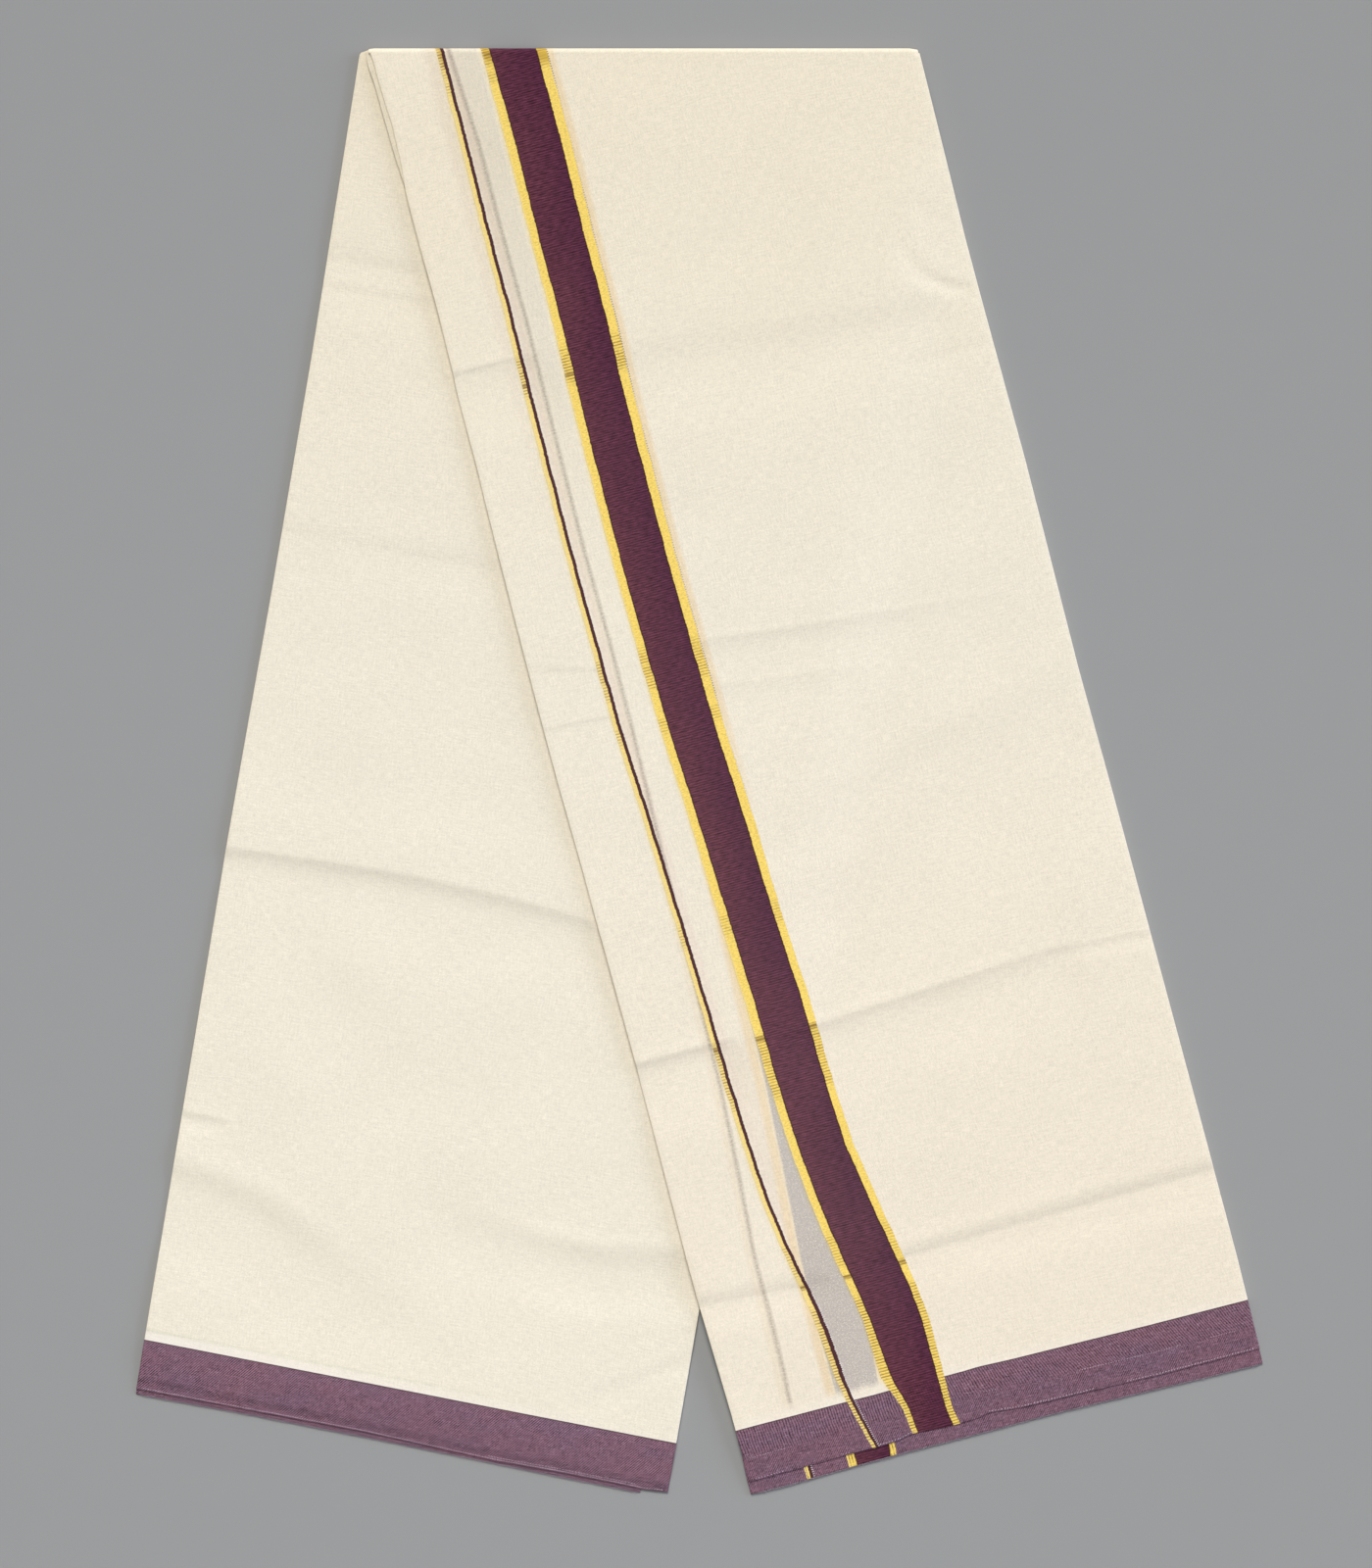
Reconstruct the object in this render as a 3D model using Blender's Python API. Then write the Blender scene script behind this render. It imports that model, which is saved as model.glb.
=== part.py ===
"""Dhoti cloth: one woven length, folded lengthwise into a strip, turned over once and laid flat.

Metres, +Z up. The cloth lies on z = 0 with its turned edge towards +Y, and the origin is the
middle of its box, on the surface that it lies on. The front half lies over the back half and
slopes down to the surface past the back half's right edge. Each half is a stack: hidden folds,
in the front half a second layer, and the layer that shows, whose sides roll down over the rest.
"""
import math
from collections import namedtuple

import bmesh
import bpy

# ---- driving dimensions (metres, degrees) ----
WALL = 0.0010              # cloth wall
SEAM = 0.0003              # clearance between one stretch of cloth and the next
BACK_INNER = 0.0016        # hidden layers of the back half, pressed flat
FRONT_INNER = 0.0012       # hidden layers of the front half
FOLDS_AT_RIM = 2           # folds that show at the rim of the hidden layers

BOX_TOP = 0.50826          # outermost line of the turn at the top
TURN_LEFT = -0.23254       # ends of the turned edge, across
TURN_RIGHT = 0.15496
TURN_CORNER = 0.0045       # how far the turn's two corners are rounded in plan
TURN_CORNER_PARTS = (0.0, 0.25, 0.6, 1.0)    # sections along that rounding

Edge = namedtuple("Edge", "start lean length")
Half = namedtuple("Half", "left right")
FRONT = Half(left=Edge(start=TURN_LEFT, lean=14.93, length=1.0526),
             right=Edge(start=TURN_RIGHT, lean=14.72, length=0.9574))
BACK = Half(left=Edge(start=-0.23734, lean=-9.50, length=0.9619),
            right=Edge(start=TURN_RIGHT, lean=-9.83, length=1.0308))

# Section: distance from the turn along the left and right edges, and the crease's depth there
Section = namedtuple("Section", "left right sink")
CREASE_HALF = 0.011        # from a crease's middle to where the cloth is flat again
FRONT_CREASES = (
    Section(left=0.236, right=0.170, sink=0.0007),
    Section(left=0.464, right=0.387, sink=0.0005),
    Section(left=0.738, right=0.641, sink=0.0007),
    Section(left=0.914, right=0.821, sink=0.0006),
)
BACK_CREASES = (
    Section(left=0.341, right=0.414, sink=0.0004),
    Section(left=0.569, right=0.645, sink=0.0008),
    Section(left=0.793, right=0.867, sink=0.0005),
)

END_BAND = 0.0345          # woven band at each end, down to its hem edge
FRONT_SETBACK_LEFT = 0.0083    # front hem, short of the layer below it
FRONT_SETBACK_RIGHT = 0.0124
INNER_SETBACK = 0.0060     # hidden layers, short of the hem that covers them
BACK_PEEK = 0.0025         # under layer, past the back hem
BACK_PEEK_INSET = 0.0190   # its right edge, in from the strip's

BACK_COLUMNS = 5           # facets across the back half
SIDE_COLUMNS = 3           # facets across the front half on each side of its slope
ROW_STEP = 0.110           # longest facet along each half
EDGE_COLUMN = 0.012        # first column in from the rolled side
LEDGE = 0.003              # how far the front half runs level past the back half's right edge
SLOPE = 0.060              # across the slope where it then comes down to the surface
SLOPE_COLUMNS = 4          # facets across that slope
LEAST_PART = 0.012         # closest columns, as a part of the strip's width

SIDE_RADIUS = 0.0019       # roll of a side fold, at its outer face
SIDE_STEPS = 2             # facets round that roll
INNER_INSET = 0.0022       # hidden layers, in from the outer face of the side fold
PEEK_WIDTH = 0.0040        # under layer's fold edge, out past the front's, near the turn
PEEK_END = 0.060           # distance down to which it stands out in full
TUCK_END = 0.105           # distance down at which it is tucked in
ROLL_START = 0.145         # distance down from which the front's left side fold is whole
TURN_STEPS = 8             # facets round the turn
TURN_END_REACH = 0.5       # how far the turn still stands out at its very ends
MERGE = 1e-6               # points closer than this are one

# ---- heights of the stack: the top face of each layer, above what its half lies on ----
BACK_FALL_TOP = BACK_INNER + SEAM + WALL
BACK_STACK = BACK_FALL_TOP + SEAM
FRONT_UNDER_TOP = FRONT_INNER + SEAM + WALL
FRONT_FALL_TOP = FRONT_UNDER_TOP + SEAM + WALL
TURN_RADIUS = (BACK_STACK + FRONT_FALL_TOP) / 2
TURN_LINE = BOX_TOP - TURN_RADIUS

CREAM = (0.88, 0.80, 0.66)
CREAM_INNER = (0.84, 0.76, 0.62)
BAND_PURPLE = (0.19, 0.11, 0.15)
CLOTH_ROUGHNESS = 0.85

PARTS = "dhoti_cloth"


def smoothstep(value):
    """0 below 0, 1 above 1, eased between."""
    value = min(max(value, 0.0), 1.0)
    return value * value * (3.0 - 2.0 * value)


def blend(low, high, part):
    """From low at part 0 to high at part 1."""
    return low + (high - low) * part


# ---- places on the strip ----
def edge_point(edge, along):
    """Point of a side edge at a distance from the turn."""
    lean = math.radians(edge.lean)
    return edge.start + along * math.sin(lean), BOX_TOP - along * math.cos(lean)


def turn_distance(edge):
    """Distance along an edge where the layers start, just short of the turn."""
    return (TURN_RADIUS + SEAM) / math.cos(math.radians(edge.lean))


def width_at(half, section):
    """The strip's width on a section."""
    return math.dist(edge_point(half.left, section.left), edge_point(half.right, section.right))


def across(half, section, inset):
    """Point on a section at a distance in from the strip's left edge."""
    left = edge_point(half.left, section.left)
    right = edge_point(half.right, section.right)
    part = inset / width_at(half, section)
    return blend(left[0], right[0], part), blend(left[1], right[1], part)


def past_back(x, y):
    """Distance of a point past the back half's right edge."""
    lean = math.radians(BACK.right.lean)
    return (x - BACK.right.start) * math.cos(lean) - (BOX_TOP - y) * math.sin(lean)


def base_height(half, x, y):
    """Height of the surface that a half lies on: the back half's top, or the ground past it."""
    if half is BACK:
        return 0.0
    return BACK_STACK * (1.0 - smoothstep((past_back(x, y) - LEDGE) / SLOPE))


def sections(half, start, end, creases, stations=()):
    """Sections from start to end: the creases with their flanks, and flat ones between."""
    found = [start, end]
    for crease in creases:
        for step, sink in ((-CREASE_HALF, 0.0), (0.0, crease.sink), (CREASE_HALF, 0.0)):
            found.append(Section(crease.left + step, crease.right + step, sink))
    found.extend(stations)
    found = [s for s in found if start.left <= s.left <= end.left]
    found.sort(key=lambda s: s.left)
    rows = [found[0]]
    for after in found[1:]:
        before = rows[-1]
        pieces = max(1, math.ceil((after.left - before.left) / ROW_STEP))
        for k in range(1, pieces + 1):
            rows.append(Section(blend(before.left, after.left, k / pieces),
                                blend(before.right, after.right, k / pieces),
                                blend(before.sink, after.sink, k / pieces)))
    return rows


def inner_columns(half, section):
    """Columns away from the sides on a section, as parts of the strip's width.

    On the front half they follow the slope down off the back half, so its facets bend there.
    """
    if half is BACK:
        return [k / BACK_COLUMNS for k in range(1, BACK_COLUMNS)]
    at_left = past_back(*edge_point(half.left, section.left))
    at_right = past_back(*edge_point(half.right, section.right))
    slope = [(LEDGE + SLOPE * k / SLOPE_COLUMNS - at_left) / (at_right - at_left)
             for k in range(SLOPE_COLUMNS + 1)]
    first, last = max(slope[0], 0.0), min(slope[-1], 1.0)
    parts = [first * k / SIDE_COLUMNS for k in range(1, SIDE_COLUMNS)]
    parts += slope
    parts += [blend(last, 1.0, k / SIDE_COLUMNS) for k in range(1, SIDE_COLUMNS)]
    side = EDGE_COLUMN / width_at(half, section)
    count = len(parts)
    for k in range(count):
        parts[k] = max(parts[k], side + LEAST_PART * (k + 1))
    for k in range(count):
        parts[k] = min(parts[k], 1.0 - side - LEAST_PART * (count - k))
    return parts


# ---- profiles across: (inset, height) points ----
def side_roll(top, depth, whole):
    """One face of a rolled side, from its lower edge up to the flat.

    depth is how far the face lies inside the cloth: 0 is its outer face, WALL its inner one.
    whole is 1 for the full roll and 0 for a plain flat edge.
    """
    radius = SIDE_RADIUS - depth
    rolled = [(depth, SEAM)]
    for k in range(SIDE_STEPS + 1):
        turn = math.pi / 2 * k / SIDE_STEPS
        rolled.append((SIDE_RADIUS - radius * math.cos(turn),
                       top - SIDE_RADIUS + radius * math.sin(turn)))
    last = len(rolled) - 1
    profile = []
    for k, (inset, height) in enumerate(rolled):
        profile.append((blend(SIDE_RADIUS * k / last, inset, whole),
                        blend(top - depth, height, whole)))
    return [*profile, (EDGE_COLUMN, top - depth)]


def mirrored(points, width):
    """The same points at the right side of a strip of that width."""
    return [(width - inset, height) for inset, height in reversed(points)]


def rolled_face(half, section, top, depth, left_whole):
    """One face of a layer whose two sides roll down."""
    width = width_at(half, section)
    top -= section.sink
    middle = [(width * part, top - depth) for part in inner_columns(half, section)]
    right = mirrored(side_roll(top, depth, 1.0), width)
    return [*side_roll(top, depth, left_whole), *middle, *right]


def flat_face(half, section, top, left_inset, right_inset):
    """One face of a flat layer that ends inside the side folds."""
    width = width_at(half, section)
    middle = [width * part for part in inner_columns(half, section)]
    right = [width - max(EDGE_COLUMN, right_inset + SEAM), width - right_inset]
    insets = [left_inset, EDGE_COLUMN, *middle, *right]
    return [(inset, top - section.sink) for inset in insets]


def rim_profile(thickness):
    """The rim of stacked folds, from the bottom up."""
    fold = thickness / FOLDS_AT_RIM
    points = [(INNER_INSET + fold / 2, 0.0)]
    for k in range(FOLDS_AT_RIM):
        if k:
            points.append((INNER_INSET + fold / 2, fold * k))
        points.append((INNER_INSET, fold * (k + 0.5)))
    points.append((INNER_INSET + fold / 2, thickness))
    return points


def place(half, section, profile):
    """Points of a profile on a section, above what the half lies on."""
    points = []
    for inset, height in profile:
        x, y = across(half, section, inset)
        points.append((x, y, base_height(half, x, y) + height))
    return points


def rolled_ring(half, section, top, left_whole=1.0):
    """Ring round the wall of a layer whose two sides roll down."""
    outer = rolled_face(half, section, top, 0.0, left_whole)
    inner = rolled_face(half, section, top, WALL, left_whole)
    return place(half, section, [*outer, *reversed(inner)])


def flat_ring(half, section, top, thickness, left_inset, right_inset):
    """Ring round the wall of a flat layer."""
    upper = flat_face(half, section, top, left_inset, right_inset)
    lower = flat_face(half, section, top - thickness, left_inset, right_inset)
    return place(half, section, [*upper, *reversed(lower)])


def fold_ring(half, section, thickness):
    """Ring round the hidden folds: up the left rim, across, down the right one and back."""
    width = width_at(half, section)
    top = thickness - section.sink
    left = rim_profile(top)
    side = EDGE_COLUMN / width
    columns = [side, *inner_columns(half, section), 1.0 - side]
    over = [(width * part, top) for part in columns]
    under = [(width * part, 0.0) for part in reversed(columns)]
    return place(half, section, [*left, *over, *mirrored(left, width), *under])


# ---- meshes ----
def new_object(name, bm, colour):
    """Object of a bmesh in the cloth's collection, with its own material."""
    mesh = bpy.data.meshes.new(name)
    bm.to_mesh(mesh)
    bm.free()
    mesh.shade_smooth()
    obj = bpy.data.objects.new(name, mesh)
    bpy.data.collections[PARTS].objects.link(obj)
    material = bpy.data.materials.new(name)
    material.use_nodes = True
    shader = material.node_tree.nodes["Principled BSDF"]
    shader.inputs["Base Color"].default_value = (*colour, 1.0)
    shader.inputs["Roughness"].default_value = CLOTH_ROUGHNESS
    shader.inputs["Metallic"].default_value = 0.0
    mesh.materials.append(material)
    return obj


def add_loft(name, rings, colour):
    """Closed solid through rings of points, each in one plane, with a flat cap at each end.

    A grid is wrapped round the rings and joined along its seam. Every facet has the same
    diagonal, so layers that share their columns stay an even distance apart.
    """
    rows = [[*ring, ring[0]] for ring in rings]
    last_row, last_column = len(rows) - 1, len(rows[0]) - 1
    bm = bmesh.new()
    bmesh.ops.create_grid(bm, x_segments=last_column, y_segments=last_row, size=1.0)
    for vert in bm.verts:
        column = round((vert.co.x + 1.0) / 2.0 * last_column)
        row = round((1.0 - vert.co.y) / 2.0 * last_row)
        vert.co = rows[row][column]
    bmesh.ops.triangulate(bm, faces=bm.faces[:], quad_method="FIXED")
    bmesh.ops.remove_doubles(bm, verts=bm.verts[:], dist=MERGE)
    bmesh.ops.holes_fill(bm, edges=[edge for edge in bm.edges if edge.is_boundary])
    bmesh.ops.recalc_face_normals(bm, faces=bm.faces[:])
    return new_object(name, bm, colour)


# ---- the stretches of cloth ----
def start_section(half):
    """First section of every layer, just short of the turn."""
    return Section(turn_distance(half.left), turn_distance(half.right), 0.0)


def short_of(section, left, right):
    """A section moved back towards the turn."""
    return Section(section.left - left, section.right - right, 0.0)


def end_section(half):
    """The strip's far end."""
    return Section(half.left.length, half.right.length, 0.0)


def front_stations():
    """Sections where the front's left side changes from a flat edge to a whole roll."""
    scale = FRONT.right.length / FRONT.left.length
    return [Section(left, left * scale, 0.0) for left in (PEEK_END, TUCK_END, ROLL_START)]


def front_roll(section):
    """How whole the front's left roll is on a section."""
    return smoothstep((section.left - TUCK_END) / (ROLL_START - TUCK_END))


def front_tuck(section):
    """Inset of the under layer's left edge: out past the front's near the turn, then inside."""
    part = smoothstep((section.left - PEEK_END) / (TUCK_END - PEEK_END))
    return blend(-PEEK_WIDTH, INNER_INSET, part)


def make_back():
    """Back half: hidden folds, the visible layer, its end band and the end that peeks out."""
    start = start_section(BACK)
    hem = end_section(BACK)
    band = short_of(hem, END_BAND, END_BAND)
    fall_end = short_of(band, SEAM, SEAM)
    peek = short_of(hem, -BACK_PEEK, -BACK_PEEK)

    rows = sections(BACK, start, fall_end, BACK_CREASES)
    add_loft("back_inner_folds", [fold_ring(BACK, row, BACK_INNER) for row in rows], CREAM_INNER)
    add_loft("back_fall", [rolled_ring(BACK, row, BACK_FALL_TOP) for row in rows], CREAM)

    rows = sections(BACK, band, hem, ())
    add_loft("back_end_band", [rolled_ring(BACK, row, BACK_FALL_TOP) for row in rows], BAND_PURPLE)
    rows = sections(BACK, band, peek, ())
    rings = [flat_ring(BACK, row, BACK_INNER, BACK_INNER, INNER_INSET, BACK_PEEK_INSET)
             for row in rows]
    add_loft("back_under_end_band", rings, BAND_PURPLE)


def make_front():
    """Front half: hidden folds, the under layer and the visible layer, each with its end band."""
    start = start_section(FRONT)
    end = end_section(FRONT)
    hem = short_of(end, FRONT_SETBACK_LEFT, FRONT_SETBACK_RIGHT)
    stations = front_stations()

    rows = sections(FRONT, start, short_of(hem, INNER_SETBACK, INNER_SETBACK), FRONT_CREASES,
                    stations)
    add_loft("front_inner_folds", [fold_ring(FRONT, row, FRONT_INNER) for row in rows],
             CREAM_INNER)

    band = short_of(end, END_BAND, END_BAND)
    for name, first, last, colour in (
            ("front_under_fall", start, short_of(band, SEAM, SEAM), CREAM),
            ("front_under_end_band", band, end, BAND_PURPLE)):
        rows = sections(FRONT, first, last, FRONT_CREASES, stations)
        rings = [flat_ring(FRONT, row, FRONT_UNDER_TOP, WALL, front_tuck(row), INNER_INSET)
                 for row in rows]
        add_loft(name, rings, colour)

    band = short_of(hem, END_BAND, END_BAND)
    for name, first, last, colour in (
            ("front_fall", start, short_of(band, SEAM, SEAM), CREAM),
            ("front_end_band", band, hem, BAND_PURPLE)):
        rows = sections(FRONT, first, last, FRONT_CREASES, stations)
        rings = [rolled_ring(FRONT, row, FRONT_FALL_TOP, front_roll(row)) for row in rows]
        add_loft(name, rings, colour)


def turn_arc(x, depth):
    """Points round the turn at a place across, depth inside its outer face.

    Near its two ends the turn is flatter in plan, which rounds its corners.
    """
    from_end = min(x - TURN_LEFT, TURN_RIGHT - x)
    part = min(max(from_end / TURN_CORNER, 0.0), 1.0)
    reach = TURN_RADIUS * blend(TURN_END_REACH, 1.0, math.sqrt(part * (2.0 - part))) - depth
    points = []
    for k in range(TURN_STEPS + 1):
        angle = math.pi * k / TURN_STEPS
        points.append((x, TURN_LINE + reach * math.sin(angle),
                       TURN_RADIUS + (TURN_RADIUS - depth) * math.cos(angle)))
    return points


def make_turn():
    """The turn at the top: the outer layer round it, and the hidden layers inside."""
    corner = [TURN_CORNER * part for part in TURN_CORNER_PARTS]
    stations = [TURN_LEFT + step for step in corner]
    stations += [TURN_RIGHT - step for step in reversed(corner)]
    rings = [[*turn_arc(x, 0.0), *reversed(turn_arc(x, WALL))] for x in stations]
    add_loft("top_turn", rings, CREAM)
    add_loft("inner_turn", [turn_arc(x, WALL + SEAM) for x in stations], CREAM_INNER)


def main():
    """Clear the scene and build the cloth."""
    for obj in list(bpy.data.objects):
        bpy.data.objects.remove(obj, do_unlink=True)
    bpy.context.scene.collection.children.link(bpy.data.collections.new(PARTS))
    make_back()
    make_front()
    make_turn()


main()
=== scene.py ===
"""Folded dhoti: one woven cotton length, folded lengthwise, turned over once and laid flat.

Metres, +Z up, the turned edge towards +Y, the cloth lying on z = 0. Laid out as an add-on: the
operators in the sidebar make the back half, the front half, the folds in the turn, the hem
stitches with the loose fibres, and the stage.
"""
import math
from collections import namedtuple

import bmesh
import bpy
from mathutils import Matrix, Vector, noise


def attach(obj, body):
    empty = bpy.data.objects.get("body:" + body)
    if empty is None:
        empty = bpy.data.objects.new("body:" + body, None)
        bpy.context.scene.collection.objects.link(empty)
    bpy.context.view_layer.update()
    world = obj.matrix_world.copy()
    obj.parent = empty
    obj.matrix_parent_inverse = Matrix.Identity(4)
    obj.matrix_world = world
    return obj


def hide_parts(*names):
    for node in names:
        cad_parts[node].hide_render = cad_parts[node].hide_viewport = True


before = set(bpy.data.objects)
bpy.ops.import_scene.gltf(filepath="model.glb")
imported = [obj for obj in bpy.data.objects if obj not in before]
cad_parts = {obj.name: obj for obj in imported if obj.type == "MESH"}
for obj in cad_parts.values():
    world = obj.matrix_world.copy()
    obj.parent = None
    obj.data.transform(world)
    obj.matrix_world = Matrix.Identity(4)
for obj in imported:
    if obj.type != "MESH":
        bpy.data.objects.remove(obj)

bl_info = {
    "name": "Folded dhoti",
    "version": (1, 0, 0),
    "blender": (4, 5, 0),
    "location": "View3D > Sidebar > Dhoti",
    "description": "Models a folded dhoti cloth with its woven border and end bands",
    "category": "Object",
}

MM = 0.001

# ---- the strip as it is laid (metres, degrees), as in the solid part ----
SEAM = 0.0003              # clearance between one stretch of cloth and the next
BOX_TOP = 0.50826          # outermost line of the turn
TURN_LEFT = -0.23254       # ends of the turned edge
TURN_RIGHT = 0.15496
TURN_CORNER = 0.0045       # plan rounding of the turn's corners
TURN_END_REACH = 0.5       # how far the turn still stands out at its very ends
BACK_INNER = 0.0016        # hidden folds of the back half
FRONT_INNER = 0.0012       # hidden folds of the front half
BACK_TOP = 0.0029          # visible face of the back half
BACK_STACK = 0.0032        # what the front half lies on
UNDER_TOP = 0.0025         # second layer of the front half, above what it lies on
FRONT_TOP = 0.0038         # visible face of the front half, above what it lies on
TURN_RADIUS = (BACK_STACK + FRONT_TOP) / 2
TURN_LINE = BOX_TOP - TURN_RADIUS
LEDGE = 0.003              # how far the front half runs level past the back half's side
SLOPE = 0.060              # across the slope where it then comes down
INNER_INSET = 0.0022       # hidden layers, in from the outer fold
TUCK_END = 0.105           # the front's left fold is a thin tuck down to here
ROLL_START = 0.145         # and rolls right over from here on
BACK_UNDER_INSET = 0.0190  # right end of the layer that shows below the back hem

# a section crosses a half so far down its left and its right side; a half's width is that of
# its middle one
Section = namedtuple("Section", "left right")
Edge = namedtuple("Edge", "start lean bows")
Half = namedtuple("Half", "name left right lean stack middle")
# rows lie close together from before to after a section
Zone = namedtuple("Zone", "left right before after")

# bows: (distance from the turn, outward) in millimetres
FRONT = Half(
    name="front",
    left=Edge(TURN_LEFT, 14.93,
              ((0, 0), (71, 1.2), (150, 0.0), (236, -2.4), (330, -0.6), (500, 0.3), (640, -0.2),
               (738, -2.2), (800, -0.4), (916, 1.2), (990, 0.2), (1053, 0))),
    right=Edge(TURN_RIGHT, 14.72,
               ((0, 0), (80, -0.8), (140, -1.7), (180, -1.6), (300, -0.5), (450, -1.5),
                (540, -0.4), (800, 1.0), (880, 1.1), (957, 0))),
    lean=14.82, stack=FRONT_TOP, middle=Section(0.5, 0.45))
BACK = Half(
    name="back",
    left=Edge(-0.23734, -9.50,
              ((0, 0), (85, -0.8), (220, -1.8), (385, -1.4), (480, -0.3), (575, 0.5),
               (700, 0.2), (960, 0))),
    right=Edge(TURN_RIGHT, -9.83, ((0, 0),)),
    lean=-9.66, stack=BACK_TOP, middle=Section(0.5, 0.5))

# near the turn the second layer's fold shows past the front layer's: (from the turn, inset) in mm
FRONT_LEFT_INSET = ((0, 0.6), (9, 1.8), (21, 2.0), (40, 2.8), (56, 3.9), (75, 3.5), (89, 2.6),
                    (107, 0.6), (136, 0), (164, -0.3), (193, -1.0), (222, -2.4), (250, -3.6),
                    (279, -3.1), (307, -2.5), (364, -3.1), (421, -3.4), (536, -3.4), (593, -2.7),
                    (650, -2.7), (707, -3.4), (736, -3.8), (764, -3.4), (793, -2.4), (879, -1.8),
                    (936, -0.7), (993, 0))
UNDER_LEFT_INSET = ((0, 0.2), (3, -1.4), (7, -2.4), (15, -2.4), (25, -1.2), (45, -0.6), (66, 0.1),
                    (80, 0.4), (95, 1.0), (115, 2.2), (990, 2.2), (1040, -1.2))
# the back half rises into the corner beside the turn: (across from the turn's left end, rise) in mm
CORNER_RISE = ((-5.2, 0), (-4.7, 0.9), (-3.8, 2.0), (-2.0, 3.1), (0, 3.2), (1.5, 1.8), (3.5, 0))
CORNER_REACH = 0.012

FRONT_HEM = Section(1.0440, 0.9448)
UNDER_HEM = Section(1.0526, 0.9574)
BACK_HEM = Section(0.9578, 1.0298)
BACK_UNDER_HEM = Section(0.9627, 1.0346)
FRONT_BAND = (0.0377, 0.0349)      # depth of the end bands at the left and at the right
BACK_BAND = (0.0368, 0.0340)
UNDER_BAND = 0.0345
FRONT_FOLDS_SETBACK = 0.006        # hidden folds, short of the hem that covers them
BACK_FOLDS_SETBACK = 0.007
BACK_FOLDS_CLEAR = 0.030           # further back still, clear of the band below the back hem
HEM_BEND = 0.00026                 # bend of a turned hem
FRONT_TURN = 0.0170                # depth of the turned hems
BACK_TURN = 0.0066
TURNED_STEPS = (0.3, 0.65, 1.0)    # rows of the turned part, as parts of its depth
HEM_RISE = 0.00014                 # how much the doubled hem stands proud
HEM_EASE = 0.0012                  # the length over which it comes down
HEM_OVERLAP = 0.0006               # how far it goes on past its turned depth
EDGE_BEND = 0.00025                # bend of a plain selvedge
STITCH_GROOVE = 0.00022            # how deep the hem stitches pull in
GROOVE_PLACE = 0.0008              # the groove's middle, short of the turned depth
GROOVE_HALF = 0.0018               # half the groove's width

# hem lines: (part across, up) in millimetres
FRONT_HEM_BOW = ((0, 0), (0.1, 0.4), (0.2, 1.0), (0.27, 0.8), (0.30, 1.6), (0.32, 3.6), (0.36, 2.6),
                 (0.41, 1.9), (0.45, 2.4), (0.475, 3.9), (0.535, 1.6), (0.62, 0.8), (0.68, 0.3),
                 (0.8, -1.1), (1, -1.2))
UNDER_HEM_BOW = ((0, 0), (0.08, 0), (0.11, 0.4), (0.2, 1.4), (0.3, 2.0), (0.45, 2.2), (0.59, 2.9),
                 (0.77, 2.0), (0.9, 1.2), (1, 0.9))
BACK_HEM_BOW = ((0, 1.4), (0.23, 1.2), (0.415, 1.1), (0.5, 0.1), (0.6, -1.2), (0.68, -2.1),
                (0.79, -1.7), (0.9, -2.1), (0.955, -2.5), (1, -1.3))
BACK_UNDER_BOW = ((0, 2.9), (0.23, 3.4), (0.415, 2.8), (0.5, 2.4), (0.68, 1.3), (0.79, 0.5),
                  (0.955, -0.3), (1, -0.3))

# ---- woven border of the layer that shows: where its edges run ----
# down from the turn, then narrow gold, wide gold, maroon, maroon's end, right gold's end (mm)
BorderRow = namedtuple("BorderRow", "down narrow gold maroon right end")
BORDER = tuple(BorderRow(*row) for row in (
    (0, -184.5, -152.8, -146.9, -113.8, -106.9),
    (66, -167.3, -135.2, -128.3, -95.9, -89.0),
    (128, -151.8, -119.3, -113.1, -80.7, -74.1),
    (190, -135.2, -102.8, -96.6, -64.1, -57.6),
    (232, -124.9, -93.1, -86.2, -54.5, -47.9),
    (273, -114.5, -82.8, -76.6, -44.1, -37.6),
    (356, -93.1, -61.4, -55.2, -22.1, -15.8),
    (418, -75.9, -44.1, -37.9, -4.8, 1.8),
    (480, -58.6, -26.2, -20.0, 13.1, 19.7),
    (542, -38.6, -6.2, 0.0, 33.1, 39.7),
    (604, -19.3, 12.4, 19.3, 51.8, 57.6),
    (667, 0.0, 31.8, 38.7, 72.5, 78.3),
    (729, 18.3, 50.4, 56.6, 90.4, 95.9),
    (770, 31.1, 63.5, 69.7, 103.5, 109.4),
    (811, 44.9, 78.7, 84.9, 121.5, 127.3),
    (853, 62.8, 96.6, 102.8, 140.8, 146.3),
    (871, 71.5, 105.6, 111.3, 149.2, 154.3),
    (894, 81.6, 116.0, 121.2, 157.7, 163.2),
    (936, 97.0, 129.1, 136.6, 169.1, 173.9),
    (956, 106.9, 143.9, 148.4, 174.6, 179.2),
    (977, 118.6, 152.9, 156.0, 183.5, 189.3),
))
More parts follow.
